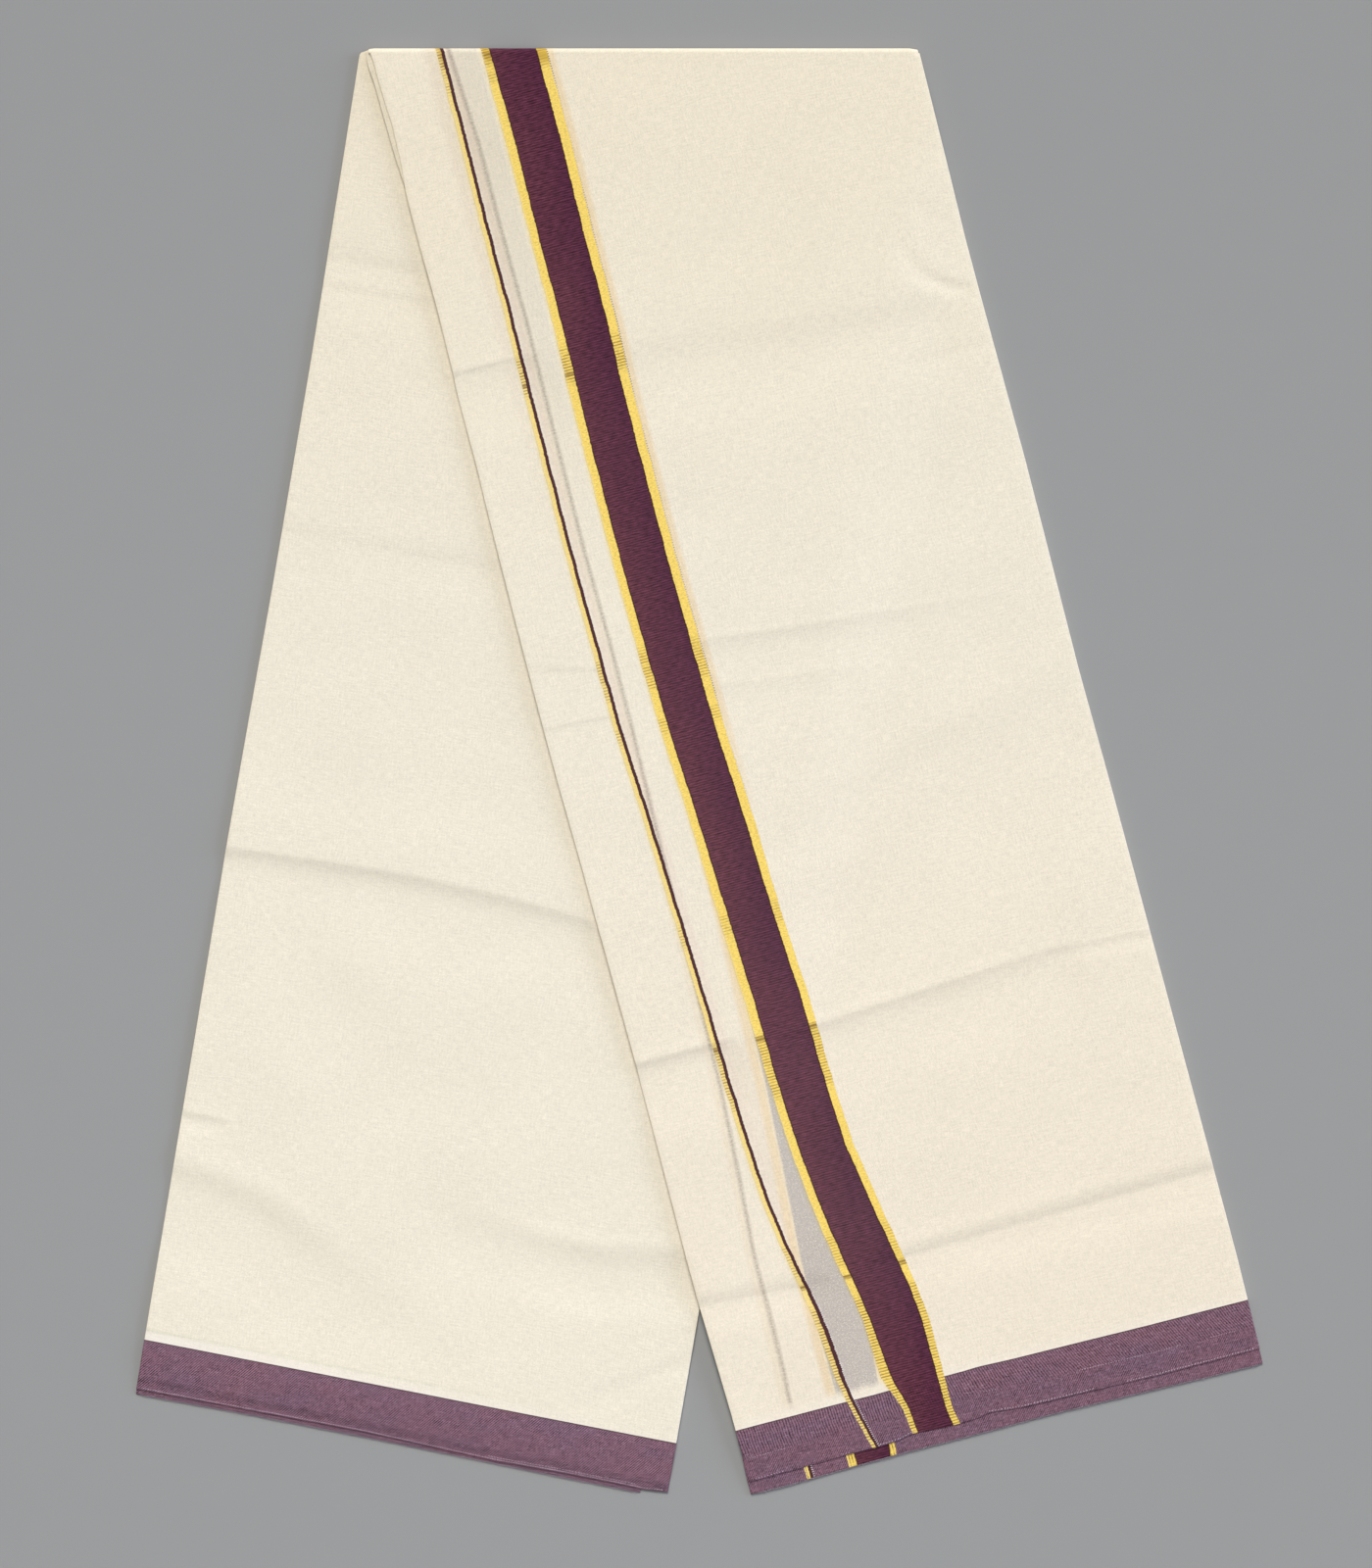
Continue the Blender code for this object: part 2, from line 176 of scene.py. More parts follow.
# the second layer's border, which shows faintly through and at the hem
BORDER_BELOW = tuple(BorderRow(*row) for row in (
    (0, -180.1, -148.4, -141.8, -109.4, -102.8),
    (66, -159.0, -127.3, -120.7, -88.3, -81.7),
    (128, -142.8, -111.1, -104.5, -72.1, -65.5),
    (190, -125.6, -93.9, -87.3, -54.9, -48.3),
    (273, -104.9, -73.2, -66.6, -34.2, -27.6),
    (356, -83.8, -52.1, -45.5, -13.1, -6.5),
    (418, -66.4, -35.5, -28.9, 3.5, 10.1),
    (480, -50.4, -19.7, -13.1, 19.3, 25.9),
    (542, -35.5, -3.8, 2.8, 35.2, 41.8),
    (729, 11.1, 41.3, 47.9, 81.8, 88.4),
    (791, 24.0, 54.1, 60.7, 94.9, 101.5),
    (853, 35.9, 66.4, 72.8, 108.0, 114.6),
    (915, 50.7, 82.3, 88.6, 122.8, 129.4),
    (958, 61.8, 94.2, 100.8, 130.2, 135.2),
    (1003, 75.9, 108.0, 114.3, 138.0, 141.8),
))
# width of the narrow gold and maroon together: (down from the turn, width) in mm
NARROW_WIDTH = ((842, 5.6), (862, 6.2), (879, 6.9), (912, 7.6), (929, 7.2), (945, 5.9), (970, 5.2))
# the border's lines in the pattern's own millimetres
NARROW_GOLD = 3.1
NARROW_END = 5.5
GOLD_START = 31.7
MAROON_START = 38.3
RIGHT_START = 70.7
BORDER_END = 77.3
PATTERN = (0.0, NARROW_END, GOLD_START, MAROON_START, RIGHT_START, BORDER_END)
CROSSING_START = 0.4               # part of the width at which the search for a line starts
CROSSING_ROUNDS = 5
BORDER_COLUMNS = (0.0, NARROW_GOLD, NARROW_END, 9.0, 14.0, 20.0, 26.0, GOLD_START, 35.0,
                  MAROON_START, 44.0, 50.0, 56.0, 63.0, RIGHT_START, 74.0, BORDER_END, 81.0, 86.0)

# stretches where brown bars cross the gold: (from, to, strength), in millimetres along the warp
CROSS_BARS = ((-50, -24, 0.9), (-24, -12, 0.7), (5, 10, 0.5), (178, 207, 1.0), (397, 430, 0.8),
              (448, 462, 0.7), (592, 611, 0.6), (680, 730, 0.9), (828, 856, 0.6), (876, 1080, 1.0))
BAR_EASE = 4.0                     # length over which such a stretch fades
# single dark ones: (place, how far right in the border they reach)
DARK_BARS = ((-33, 80), (199, 50), (685, 80), (862, 80))
DARK_BAR_HALF = 1.1

# ---- creases: (x, y, strength) along each, in millimetres, then its section ----
# rise and lift: how it swells above; fall and drop: how it dips below; recover: back to flat;
# late is 1 where the dip is steepest at its far side; fade: how far it goes on past its ends
Crease = namedtuple("Crease", "line rise lift fall drop recover late fade")
FRONT_CREASES = (
    Crease(((-178, 278, 0.9), (-152, 285, 1.0), (-124, 292, 0.6)), 8, 0.1, 5, 0.35, 20, 0, 12),
    Crease(((-178, 278, 1.0), (-152, 285, 1.0), (-120, 293, 0.8)), 0, 0, 22, 0.6, 60, 0, 20),
    Crease(((-50, 303, 0.6), (54, 321, 1.0), (157, 338, 0.7)), 0, 0, 26, 0.75, 50, 0, 30),
    Crease(((-122, 73, 1.0), (-74, 72, 0.8)), 4, 0.05, 4, 0.16, 30, 0, 14),
    Crease(((-112, 29, 0.8), (-63, 39, 1.0)), 4, 0.05, 4, 0.2, 30, 0, 14),
    Crease(((2, 92, 1.0), (90, 105, 1.0), (200, 124, 0.3)), 6, 0.08, 15, 0.48, 50, 0, 26),
    Crease(((12, 60, 1.0), (100, 72, 0.6)), 0, 0, 14, 0.45, 40, 0, 24),
    Crease(((-48, -207, 1.0), (12, -191, 1.0)), 9, 0.15, 14, 1.05, 50, 0, 22),
    Crease(((78, -180, 1.0), (164, -152, 1.0), (247, -125, 0.6)), 9, 0.15, 17, 0.95, 55, 0, 26),
    Crease(((254, -124, 0.8), (325, -110, 1.0)), 4, 0.05, 6, 0.22, 9, 0, 14),
    Crease(((-12, -379, 1.0), (78, -362, 1.0)), 0, 0, 12, 0.65, 25, 1, 24),
    Crease(((140, -344, 0.9), (254, -311, 1.0), (372, -278, 1.0)), 6, 0.1, 11, 0.72, 34, 1, 26),
    Crease(((78, -68, 0.7), (164, -2, 1.0), (268, 101, 0.7)), 0, 0, 42, 0.85, 90, 0, 50),
    Crease(((60, -30, 0.5), (140, 22, 1.0), (228, 62, 0.5)), 12, 0.10, 26, 0.45, 50, 0, 36),
    Crease(((148, 373, 0.6), (157, 357, 1.0), (172, 348, 1.0), (187, 344, 0.7)),
           4, 0.06, 5, 0.40, 10, 0, 9),
    Crease(((158, 404, 0.5), (169, 391, 0.9)), 3, 0.05, 5, 0.22, 10, 0, 9),
    Crease(((148, 292, 0.8), (206, 306, 1.0)), 3, 0.05, 5, 0.17, 10, 0, 14),
    Crease(((199, -328, 0.6), (364, -294, 0.6)), 0, 0, 5, 0.15, 14, 0, 22),
    Crease(((259, -218, 0.6), (290, -173, 0.7)), 4, 0.05, 5, 0.18, 14, 0, 14),
)
BACK_CREASES = (
    Crease(((-342, -52, 1.0), (-264, -63, 1.0), (-201, -73, 1.0), (-132, -89, 0.9),
            (-63, -108, 0.8), (40, -130, 0.5)), 65, 0.52, 18, 0.60, 60, 0, 40),
    Crease(((-250, -112, 0.6), (-205, -170, 1.0), (-178, -215, 0.4)), 0, 0, 40, 0.45, 60, 0, 40),
    Crease(((-330, -285, 0.7), (-240, -345, 1.0), (-170, -378, 0.6)), 0, 0, 40, 0.5, 60, 0, 40),
    Crease(((-262, 361, 0.9), (-188, 348, 1.0), (-120, 336, 0.6)), 0, 0, 16, 0.36, 30, 1, 30),
    Crease(((-262, 340, 0.8), (-188, 328, 1.0), (-120, 318, 0.6)), 0, 0, 9, 0.32, 30, 1, 30),
    Crease(((-297, 170, 0.7), (-146, 141, 1.0), (-60, 128, 0.5)), 0, 0, 14, 0.28, 40, 1, 30),
    Crease(((-300, 146, 1.0), (-258, 142, 0.8)), 2, 0.04, 4, 0.12, 8, 0, 14),
    Crease(((-372, -237, 1.0), (-338, -244, 0.8)), 5, 0.1, 6, 0.32, 12, 0, 14),
    Crease(((-378, -264, 0.8), (-364, -270, 1.0), (-333, -281, 1.0), (-303, -293, 1.0),
            (-278, -311, 0.8), (-246, -336, 0.4)), 14, 0.2, 34, 1.20, 50, 0, 30),
    Crease(((-155, -306, 0.2), (-112, -322, 0.8), (-66, -332, 1.0), (-22, -333, 1.0),
            (6, -329, 1.0)), 8, 0.1, 25, 1.05, 34, 0, 26),
    Crease(((-152, -300, 0.5), (-122, -345, 0.9), (-108, -378, 0.5)), 0, 0, 34, 0.4, 50, 0, 36),
    Crease(((-80, -438, 0.8), (0, -405, 1.0)), 4, 0.06, 8, 0.28, 12, 0, 18),
)
FRONT_ZONES = (
    Zone(0.236, 0.170, 0.012, 0.024), Zone(0.464, 0.387, 0.012, 0.044),
    Zone(0.738, 0.641, 0.012, 0.022), Zone(0.914, 0.821, 0.018, 0.018),
)
BACK_ZONES = (
    Zone(0.152, 0.154, 0.014, 0.026), Zone(0.347, 0.414, 0.012, 0.012),
    Zone(0.569, 0.645, 0.016, 0.026), Zone(0.762, 0.836, 0.010, 0.012),
    Zone(0.800, 0.867, 0.014, 0.030), Zone(0.888, 0.945, 0.014, 0.014),
)
HEM_FINE = 0.040                   # close rows this far up from a turned hem
EDGE_FINE = 0.020                  # and from a plain selvedge
FINE_PAST = 0.010
ROW_STEP = 0.0042                  # between rows, and between those in a zone
FINE_STEP = 0.0015
LONG_FALL = 18                     # a dip longer than this eases at both its ends
CREASE_START = 0.012               # creases and swells begin this far from the turn
UNEVENNESS = 0.00045               # gentle swell of the whole cloth
UNEVEN_SPREAD = (5.0, 12.0)        # swells a metre, across and along
UNEVEN_LEAN = 0.25                 # how far the swells slope to one side
FINER_SPREAD = 2.6                 # smaller swells on them: how much closer, and how high
FINER_PART = 0.4
UNEVEN_LAYER = {"front": 0.3, "back": 3.3}
DEEPEST = 0.52                     # no layer sinks further than this part of its stack
HIGHEST = 0.0018                   # nor rises further than this
COVERED_HIGHEST = 0.00015          # or than this where the front half lies on the back
COVER_REACH = 0.012                # that limit starts this far outside the front half
COVER_EASE = 0.010

# ---- side folds: the radii of their two bends, and how far they are tucked in below ----
Fold = namedtuple("Fold", "upper lower tuck")
FRONT_FOLD = Fold(0.0005, 0.0004, 0.0010)
BACK_FOLD = Fold(0.0006, 0.0004, 0.0010)
UNDER_FOLD = Fold(0.0005, 0.0005, 0.0060)
LOWER_STEPS = 3                    # steps round a fold's lower bend, its upper one and a hem
UPPER_STEPS = 4
HEM_STEPS = 4
SMALLEST_BEND = 0.00006            # least bend of a fold's inner face
BEND_SHARE = 0.94                  # most of a fold's drop that its two bends may take up
DOUBLES = 1e-7                     # points closer than this are one
LOWEST = 0.00040                   # no face comes closer to what it lies on
FOLD_NEAR_TURN = 0.0010            # drop of the front's left fold near the turn
FOLD_AT_TURN_RIGHT = 0.0024        # drop of its right fold at the turn
FOLD_EASE = 0.02                   # that one reaches its full drop this far from the turn
TURN_STEPS = 14
BACK_START_BEND = 0.0011           # bend that closes the back layer under the turn
BACK_START_GAP = 0.0012            # its flat part starts this much later
# depths of the hidden folds in the turn
TURN_LAYERS = (0.00078, 0.00130, 0.00190, 0.00250)
TURN_LAYER_WALL = 0.00044
# rounded side of a flattened loop of cloth: (inward, up), in parts of its height
LOOP_SIDE = ((0.5, 0.02), (0.1, 0.25), (0.0, 0.5), (0.1, 0.75), (0.5, 0.98))
LOOP_STAGGER = 0.0004              # every other loop lies this much further in
WALL_CRISP = 55.0                  # edges sharper than this stay crisp (degrees)
LOOP_CRISP = 50.0

# ---- lengths along the warp, flattened ----
FRONT_FOLDS = 2                    # loops of cloth in each half's hidden folds, and their length
BACK_FOLDS = 3

# ---- threads ----
WEAVE_PITCH = 0.0005
HATCH_PITCH = 0.0021               # slanting grain of the plain cloth
RIB_PITCH = 0.00172                # weft ribs of the maroon
PICK_PITCH = RIB_PITCH * 1.3       # slanting picks where it shows through
BAR_PITCH = 0.0021                 # brown bars across the gold
LOOP_PITCH = 0.0015                # pale loops beside the narrow line
DOT_PITCH = 0.0018                 # dark dots beside the last gold
TWILL_PITCH = 0.0018               # slanting ribs of the end bands
WAVY_PITCH = 0.0019                # wavy ribs of the front end band
TURN_SHADE_REACH = 0.42                  # painted shade: the cloth is a little darker and yellower from the turn down to here
COTTON_BUMP = 0.00012              # depth of each finish's bumps
BAND_BUMP = 0.00014
THREAD_BUMP = 0.00002
STITCH_RADIUS = 0.00030
STITCH_LIFT = 0.25                 # part of its radius by which a stitch stands higher
FIBRE_RADIUS = 0.00021
FIBRE_LENGTH = 0.0019
FIBRES = 900                       # at each plain end
FIBRE_ROOT = 0.0004                # how far a fibre starts inside the edge

# columns of faces: left and right of the border, across plain cloth and across hidden folds
LEFT_FIELD = 14
RIGHT_FIELD = 46
PLAIN_FIELD = 30
BACK_FIELD = 76
FOLD_COLUMNS = 24

# ---- tints, laid over the yarns' own colours ----
PALE_GOLD = (0.92, 0.80, 0.50, 1.0)            # the narrow gold line
TURN_SHADE_GOLD = (0.60, 0.37, 0.045, 1.0)         # painted shade: darker gold where it goes round the turn
FRINGE_GOLD = (0.90, 0.72, 0.36, 1.0)          # loose gold threads at the left edges
BAR_BROWN = (0.26, 0.14, 0.030, 1.0)
EDGE_BROWN = (0.055, 0.020, 0.014, 1.0)        # line where gold meets maroon
NARROW_MAROON = (0.085, 0.030, 0.034, 1.0)
# painted light: a paler maroon mixed in further down the strip
LOWER_LIT_MAROON = (0.60, 0.46, 0.44, 1.0)
LOOP_WHITE = (0.90, 0.83, 0.82, 1.0)
BAND_FLECK = (0.50, 0.38, 0.45, 1.0)
BAND_PICK = (0.08, 0.035, 0.055, 1.0)
BAND_TOP = (0.09, 0.06, 0.055, 1.0)            # line where the end band begins
HEADING = (0.96, 0.90, 0.84, 1.0)              # cloth just above it
DOT_DARK = (0.14, 0.10, 0.10, 1.0)

# ---- tints that multiply the colour below them ----
MAROON_SIDE = (0.68, 0.56, 0.84, 1.0)          # darker right side of the maroon
# painted shade: darker, yellower cloth from the turn down
TURN_SHADE_TINT = (1.0, 0.978, 0.93, 1.0)
WARM_TINT = (0.985, 0.965, 0.935, 1.0)
HEM_TINT = (0.995, 0.968, 0.95, 1.0)           # the front towards its hem
LINE_BELOW = (0.62, 0.59, 0.58, 1.0)           # the second layer's border, showing through
GOLD_BELOW = (0.97, 0.865, 0.69, 1.0)
BARS_BELOW = (0.66, 0.58, 0.56, 1.0)
NARROW_BELOW = (0.93, 0.85, 0.72, 1.0)
BETWEEN_BELOW = (0.96, 0.93, 0.93, 1.0)
MAROON_BELOW = (0.61, 0.615, 0.685, 1.0)
GLOW_TINT = (0.955, 0.845, 0.68, 1.0)          # right of the border
GREY_TINT = (0.89, 0.89, 0.90, 1.0)            # between the lines near the turn
BESIDE_TINT = (0.95, 0.92, 0.91, 1.0)          # left of the narrow line near the turn
FRINGE_TINT = (1.0, 0.93, 0.68, 1.0)
PINK_TINT = (0.96, 0.905, 0.93, 1.0)           # right of the narrow line
HEM_LINE_TINT = (0.76, 0.81, 0.75, 1.0)        # faint line above the back's end band

# the drops and the left inset depend on the distance along; bow_reach and reach are how far up
# from the hem its bow and its sag (sink) go, and turn is the depth of its turned part
Strip = namedtuple("Strip", "half top fold left_drop right_drop left_inset right_inset border end")
End = namedtuple("End", "bow bow_reach hem sink reach turn")
# depth: how far below the cloth's face a row lies; flat: how far past its section when the cloth
# is flattened; angle: how far round the turn, from its top
Row = namedtuple("Row", "left right depth flat angle", defaults=(0.0, 0.0, None))
# co: a point's place; flat: its place on the flattened cloth; part: how far across it lies
Spot = namedtuple("Spot", "co flat part")


# ---- stage ----
KEY_COLOUR = (1.0, 0.99, 0.94)
SIDE_COLOUR = (0.86, 0.98, 1.30)
SIDE_SIDE = -75.0                  # the side light stands at the right
FILL_COLOUR = (0.95, 0.99, 1.05)
FILL_PLACE = (0.02, -0.40, 1.9)
FILL_SIZE = 0.8
SENSOR = 36.0                      # width of the camera's sensor, in millimetres
VIEW_HEIGHT = 1.104                # how much of the floor the picture takes in, up and down
VIEW_MIDDLE = (-0.00825, -0.0092)


# ---- small helpers ----
def smoothstep(value):
    """0 below 0, 1 above 1, eased between."""
    value = min(max(value, 0.0), 1.0)
    return value * value * (3.0 - 2.0 * value)


def blend(low, high, part):
    """From low at part 0 to high at part 1."""
    return low + (high - low) * part


def read_table(table, place):
    """Value of a (place, value) table, linear between its rows and level past its ends."""
    if place <= table[0][0]:
        return table[0][1]
    for before, after in zip(table, table[1:]):
        if place <= after[0]:
            return blend(before[1], after[1], (place - before[0]) / (after[0] - before[0]))
    return table[-1][1]


# ---- where the cloth lies ----
def edge_point(edge, along):
    """Point of a side edge at a distance from the turn."""
    lean = math.radians(edge.lean)
    return edge.start + along * math.sin(lean), BOX_TOP - along * math.cos(lean)


def section_ends(half, section):
    """The two ends of a section, with the sides' slight bows."""
    left = edge_point(half.left, section.left)
    right = edge_point(half.right, section.right)
    width = math.dist(left, right)
    out_left = read_table(half.left.bows, section.left / MM) * MM / width
    out_right = read_table(half.right.bows, section.right / MM) * MM / width
    step = (right[0] - left[0], right[1] - left[1])
    return ((left[0] - step[0] * out_left, left[1] - step[1] * out_left),
            (right[0] + step[0] * out_right, right[1] + step[1] * out_right))


def across_row(ends, part):
    """Point at a part of the way between two ends."""
    return blend(ends[0][0], ends[1][0], part), blend(ends[0][1], ends[1][1], part)


def up_strip(half, x, y, shift):
    """A point moved up its half's strip, towards the turn."""
    lean = math.radians(half.lean)
    return x - shift * math.sin(lean), y + shift * math.cos(lean)


def thread_place(half, x, down):
    """Place of a point along the weft and along the warp of a half's strip."""
    lean = math.radians(half.lean)
    return (x * math.cos(lean) - down * math.sin(lean),
            x * math.sin(lean) + down * math.cos(lean))


def past_side(edge, x, y):
    """Distance of a point to the right of a side edge."""
    lean = math.radians(edge.lean)
    return (x - edge.start) * math.cos(lean) - (BOX_TOP - y) * math.sin(lean)


def base_height(half, x, y):
    """Height of the surface that a half lies on."""
    if half is BACK:
        return 0.0
    return BACK_STACK * (1.0 - smoothstep((past_side(BACK.right, x, y) - LEDGE) / SLOPE))


def crease_height(crease, distance):
    """Height of a crease's section at a distance below its line, in millimetres."""
    shift = crease.fall if crease.late else 0.0
    place = distance + shift
    if place < 0.0:
        if not crease.lift or place < -crease.rise:
            return 0.0
        return crease.lift * smoothstep(1.0 + place / crease.rise)
    if place < crease.fall:
        part = place / crease.fall
        eased = part * part if crease.late else 1.0 - (1.0 - part) ** 2
        if crease.fall > LONG_FALL and not crease.late:
            eased = smoothstep(part)
        return blend(crease.lift, -crease.drop, eased)
    return -crease.drop * (1.0 - smoothstep((place - crease.fall) / crease.recover))


def crease_at(crease, x, y):
    """A crease's height at a point, in millimetres."""
    reach = max(crease.rise, crease.fall + crease.recover) + 1.0
    nearest = None
    for start, end in zip(crease.line, crease.line[1:]):
        run = (end[0] - start[0], end[1] - start[1])
        length = math.hypot(*run)
        gone = (x - start[0], y - start[1])
        along = (gone[0] * run[0] + gone[1] * run[1]) / length
        below = (gone[0] * run[1] - gone[1] * run[0]) / length
        past = max(-along, along - length, 0.0)
        away = math.hypot(past, below) if past else abs(below)
        if nearest is None or away < nearest[0]:
            part = min(max(along / length, 0.0), 1.0)
            nearest = (away, below, past, blend(start[2], end[2], part))
    away, below, past, strength = nearest
    if past > crease.fade or abs(below) > reach:
        return 0.0
    return crease_height(crease, below) * strength * (1.0 - smoothstep(past / crease.fade))


def crease_box(crease):
    """Box in which a crease has any height, in millimetres."""
    margin = max(crease.rise, crease.fall + crease.recover) + crease.fade
    xs = [point[0] for point in crease.line]
    ys = [point[1] for point in crease.line]
    return min(xs) - margin, max(xs) + margin, min(ys) - margin, max(ys) + margin


CREASES = {name: [(crease, crease_box(crease)) for crease in creases]
           for name, creases in (("front", FRONT_CREASES), ("back", BACK_CREASES))}


def relief(half, x, y):
    """How far the cloth of a half stands above its pressed height at a point."""
    swell = Vector((x * UNEVEN_SPREAD[0], (y - x * UNEVEN_LEAN) * UNEVEN_SPREAD[1],
                    UNEVEN_LAYER[half.name]))
    height = noise.noise(swell) * UNEVENNESS
    height += noise.noise(swell * FINER_SPREAD) * UNEVENNESS * FINER_PART
    px, py = x / MM, y / MM
    depth = bpy.context.scene.dhoti_sizes.crease_depth
    for crease, (left, right, low, high) in CREASES[half.name]:
        if left < px < right and low < py < high:
            height += crease_at(crease, px, py) * MM * depth
    height *= smoothstep((TURN_LINE - y) / CREASE_START)
    limit = HIGHEST if height > 0.0 else DEEPEST * half.stack
    height = limit * math.tanh(height / limit)
    if half is BACK:
        covered = smoothstep((past_side(FRONT.left, x, y) + COVER_REACH) / COVER_EASE)
        height = min(height, blend(HIGHEST, COVERED_HIGHEST, covered))
    return height


def settled(half, x, y, height):
    """World height of a layer that is so far above what its half lies on."""
    return base_height(half, x, y) + height * (1.0 + relief(half, x, y) / half.stack)


# ---- the woven border's own coordinate ----
def border_edges(table, y):
    """Places across of the border's edges at a distance along +Y, in millimetres."""
    down = (BOX_TOP - y) / MM
    for before, after in zip(table, table[1:]):
        if down <= after.down:
            break
    part = (down - before.down) / (after.down - before.down)
    edges = [blend(low, high, part) for low, high in zip(before[1:], after[1:])]
    edges.insert(1, edges[0] + read_table(NARROW_WIDTH, down))
    return edges


def pattern_place(table, x, y):
    """Place of a point in the border's pattern, in its own millimetres."""
    edges = border_edges(table, y)
    across = x / MM
    if across <= edges[0]:
        return across - edges[0]
    if across > edges[-1]:
        return PATTERN[-1] + across - edges[-1]
    return read_table(tuple(zip(edges, PATTERN)), across)


def pattern_across(table, place, y):
    """Place across where the pattern has a given place, in metres."""
    edges = border_edges(table, y)
    if place > PATTERN[-1]:
        return (edges[-1] + place - PATTERN[-1]) * MM
    return read_table(tuple(zip(PATTERN, edges)), place) * MM


def bars_at(across, along):
    """How strongly brown bars cross the gold at a place in the border; 2 is a dark one."""
    place = along / MM
    weight = 0.0
    for start, end, strength in CROSS_BARS:
        inside = smoothstep((place - start) / BAR_EASE) * smoothstep((end - place) / BAR_EASE)
        weight = max(weight, strength * inside)
    for middle, reach in DARK_BARS:
        if across < reach:
            weight = max(weight, 2.0 * smoothstep(2.0 - abs(place - middle) / DARK_BAR_HALF))
    return weight


# ---- the strip's rows and columns ----
def fold_profile(fold, drop, depth):
    """Section of a side fold: (inset, drop) from its tucked end up to the flat.

    depth is how far inside its outer face the points lie.
    """
    fit = min(1.0, BEND_SHARE * drop / (fold.upper + fold.lower))
    upper, lower = fold.upper * fit, fold.lower * fit
    inner_upper = max(upper - depth, SMALLEST_BEND)
    inner_lower = max(lower - depth, SMALLEST_BEND)
    points = [(lower + fold.tuck, drop - lower + inner_lower)]
    for k in range(LOWER_STEPS + 1):
        turn = math.pi / 2 * k / LOWER_STEPS
        points.append((lower - inner_lower * math.sin(turn),
                       drop - lower + inner_lower * math.cos(turn)))
    for k in range(UPPER_STEPS + 1):
        turn = math.pi / 2 * k / UPPER_STEPS
        points.append((upper - inner_upper * math.cos(turn), upper - inner_upper * math.sin(turn)))
    return points


def unrolled(profile):
    """Insets of a fold's points if it were flattened out."""
    insets = [profile[-1][0]]
    for point, following in zip(reversed(profile[:-1]), reversed(profile[1:])):
        insets.append(insets[-1] - math.dist(point, following))
    return insets[::-1]


def hem_shift(strip, row, part):
    """How far up the strip its hem's bow moves a point."""
    end = strip.end
    near = smoothstep(1.0 - (end.hem.left - row.left) / end.bow_reach)
    return read_table(end.bow, part) * MM * near


def corner_rise(strip, row, x):
    """How far up the back half reaches into the corner beside the turn."""
    if strip.half is not BACK:
        return 0.0
    near = smoothstep(1.0 - (row.left - start_section(BACK).left) / CORNER_REACH)
    return read_table(CORNER_RISE, (x - TURN_LEFT) / MM) * MM * near


def border_inset(strip, place, ends, width):
    """Inset at which a section crosses a line of the border, found in a few rounds."""
    left, right = ends
    part = CROSSING_START
    for _ in range(CROSSING_ROUNDS):
        across = pattern_across(strip.border, place, blend(left[1], right[1], part))
        part = (across - left[0]) / (right[0] - left[0])
    return part * width


def flat_insets(strip, ends, width, first, last):
    """Insets of the columns between the two side folds."""
    if strip.border is None:
        count = BACK_FIELD if strip.half is BACK else PLAIN_FIELD
        return [blend(first, last, k / count) for k in range(1, count)]
    border = [border_inset(strip, place, ends, width) for place in BORDER_COLUMNS]
    insets = [blend(first, border[0], k / LEFT_FIELD) for k in range(1, LEFT_FIELD)]
    insets += border
    insets += [blend(border[-1], last, k / RIGHT_FIELD) for k in range(1, RIGHT_FIELD)]
    return insets


def corner_reach(from_end):
    """Part of its full reach at which the turn stands out near an end."""
    part = min(max(from_end / TURN_CORNER, 0.0), 1.0)
    return blend(TURN_END_REACH, 1.0, math.sqrt(part * (2.0 - part)))


def turn_reach(x):
    """How far the turn stands out at a place across: less near its two ends."""
    return TURN_RADIUS * corner_reach(min(x - TURN_LEFT, TURN_RIGHT - x))


def row_ends(strip, row):
    """Ends of a row across the strip."""
    if row.angle is None:
        return section_ends(strip.half, row)
    return (TURN_LEFT + SEAM, TURN_LINE), (TURN_RIGHT, TURN_LINE)


def row_columns(strip, row, ends):
    """Columns of a row: how far in, how far down, and how far in on the flattened cloth."""
    width = math.dist(*ends)
    left_inset, right_inset = strip.left_inset(row.left), strip.right_inset
    left_drop, right_drop = strip.left_drop(row.left), strip.right_drop(row.left)
    left_fold = fold_profile(strip.fold, left_drop, row.depth)
    right_fold = fold_profile(strip.fold, right_drop, row.depth)
    left_flat = unrolled(fold_profile(strip.fold, left_drop, 0.0))
    right_flat = unrolled(fold_profile(strip.fold, right_drop, 0.0))
    first = left_inset + left_fold[-1][0]
    last = width - right_inset - right_fold[-1][0]
    columns = [(left_inset + inset, drop, left_inset + flat)
               for (inset, drop), flat in zip(left_fold, left_flat)]
    columns += [(inset, row.depth, inset)
                for inset in flat_insets(strip, ends, width, first, last)]
    columns += [(width - right_inset - inset, drop, width - right_inset - flat)
                for (inset, drop), flat in zip(reversed(right_fold), reversed(right_flat))]
    return columns


def row_spots(strip, row):
    """Points of one row, with their places on the flattened cloth."""
    ends = row_ends(strip, row)
    width = math.dist(*ends)
    spots = []
    for inset, drop, flat_inset in row_columns(strip, row, ends):
        part = inset / width
        x, y = across_row(ends, part)
        flat_x, flat_y = across_row(ends, flat_inset / width)
        if row.angle is None:
            shift = hem_shift(strip, row, part) + corner_rise(strip, row, x)
            x, y = up_strip(strip.half, x, y, shift)
            flat_x, flat_y = up_strip(strip.half, flat_x, flat_y, shift - row.flat)
            height = max(strip.top + hem_lift(strip, row) - drop, LOWEST)
            z = settled(strip.half, x, y, height)
        else:
            reach = turn_reach(x) - drop
            y = TURN_LINE + reach * math.sin(row.angle)
            z = TURN_RADIUS + (TURN_RADIUS - drop) * math.cos(row.angle)
            flat_y += TURN_RADIUS * row.angle
        spots.append(Spot(Vector((x, y, z)), (flat_x, flat_y), part))
    return spots


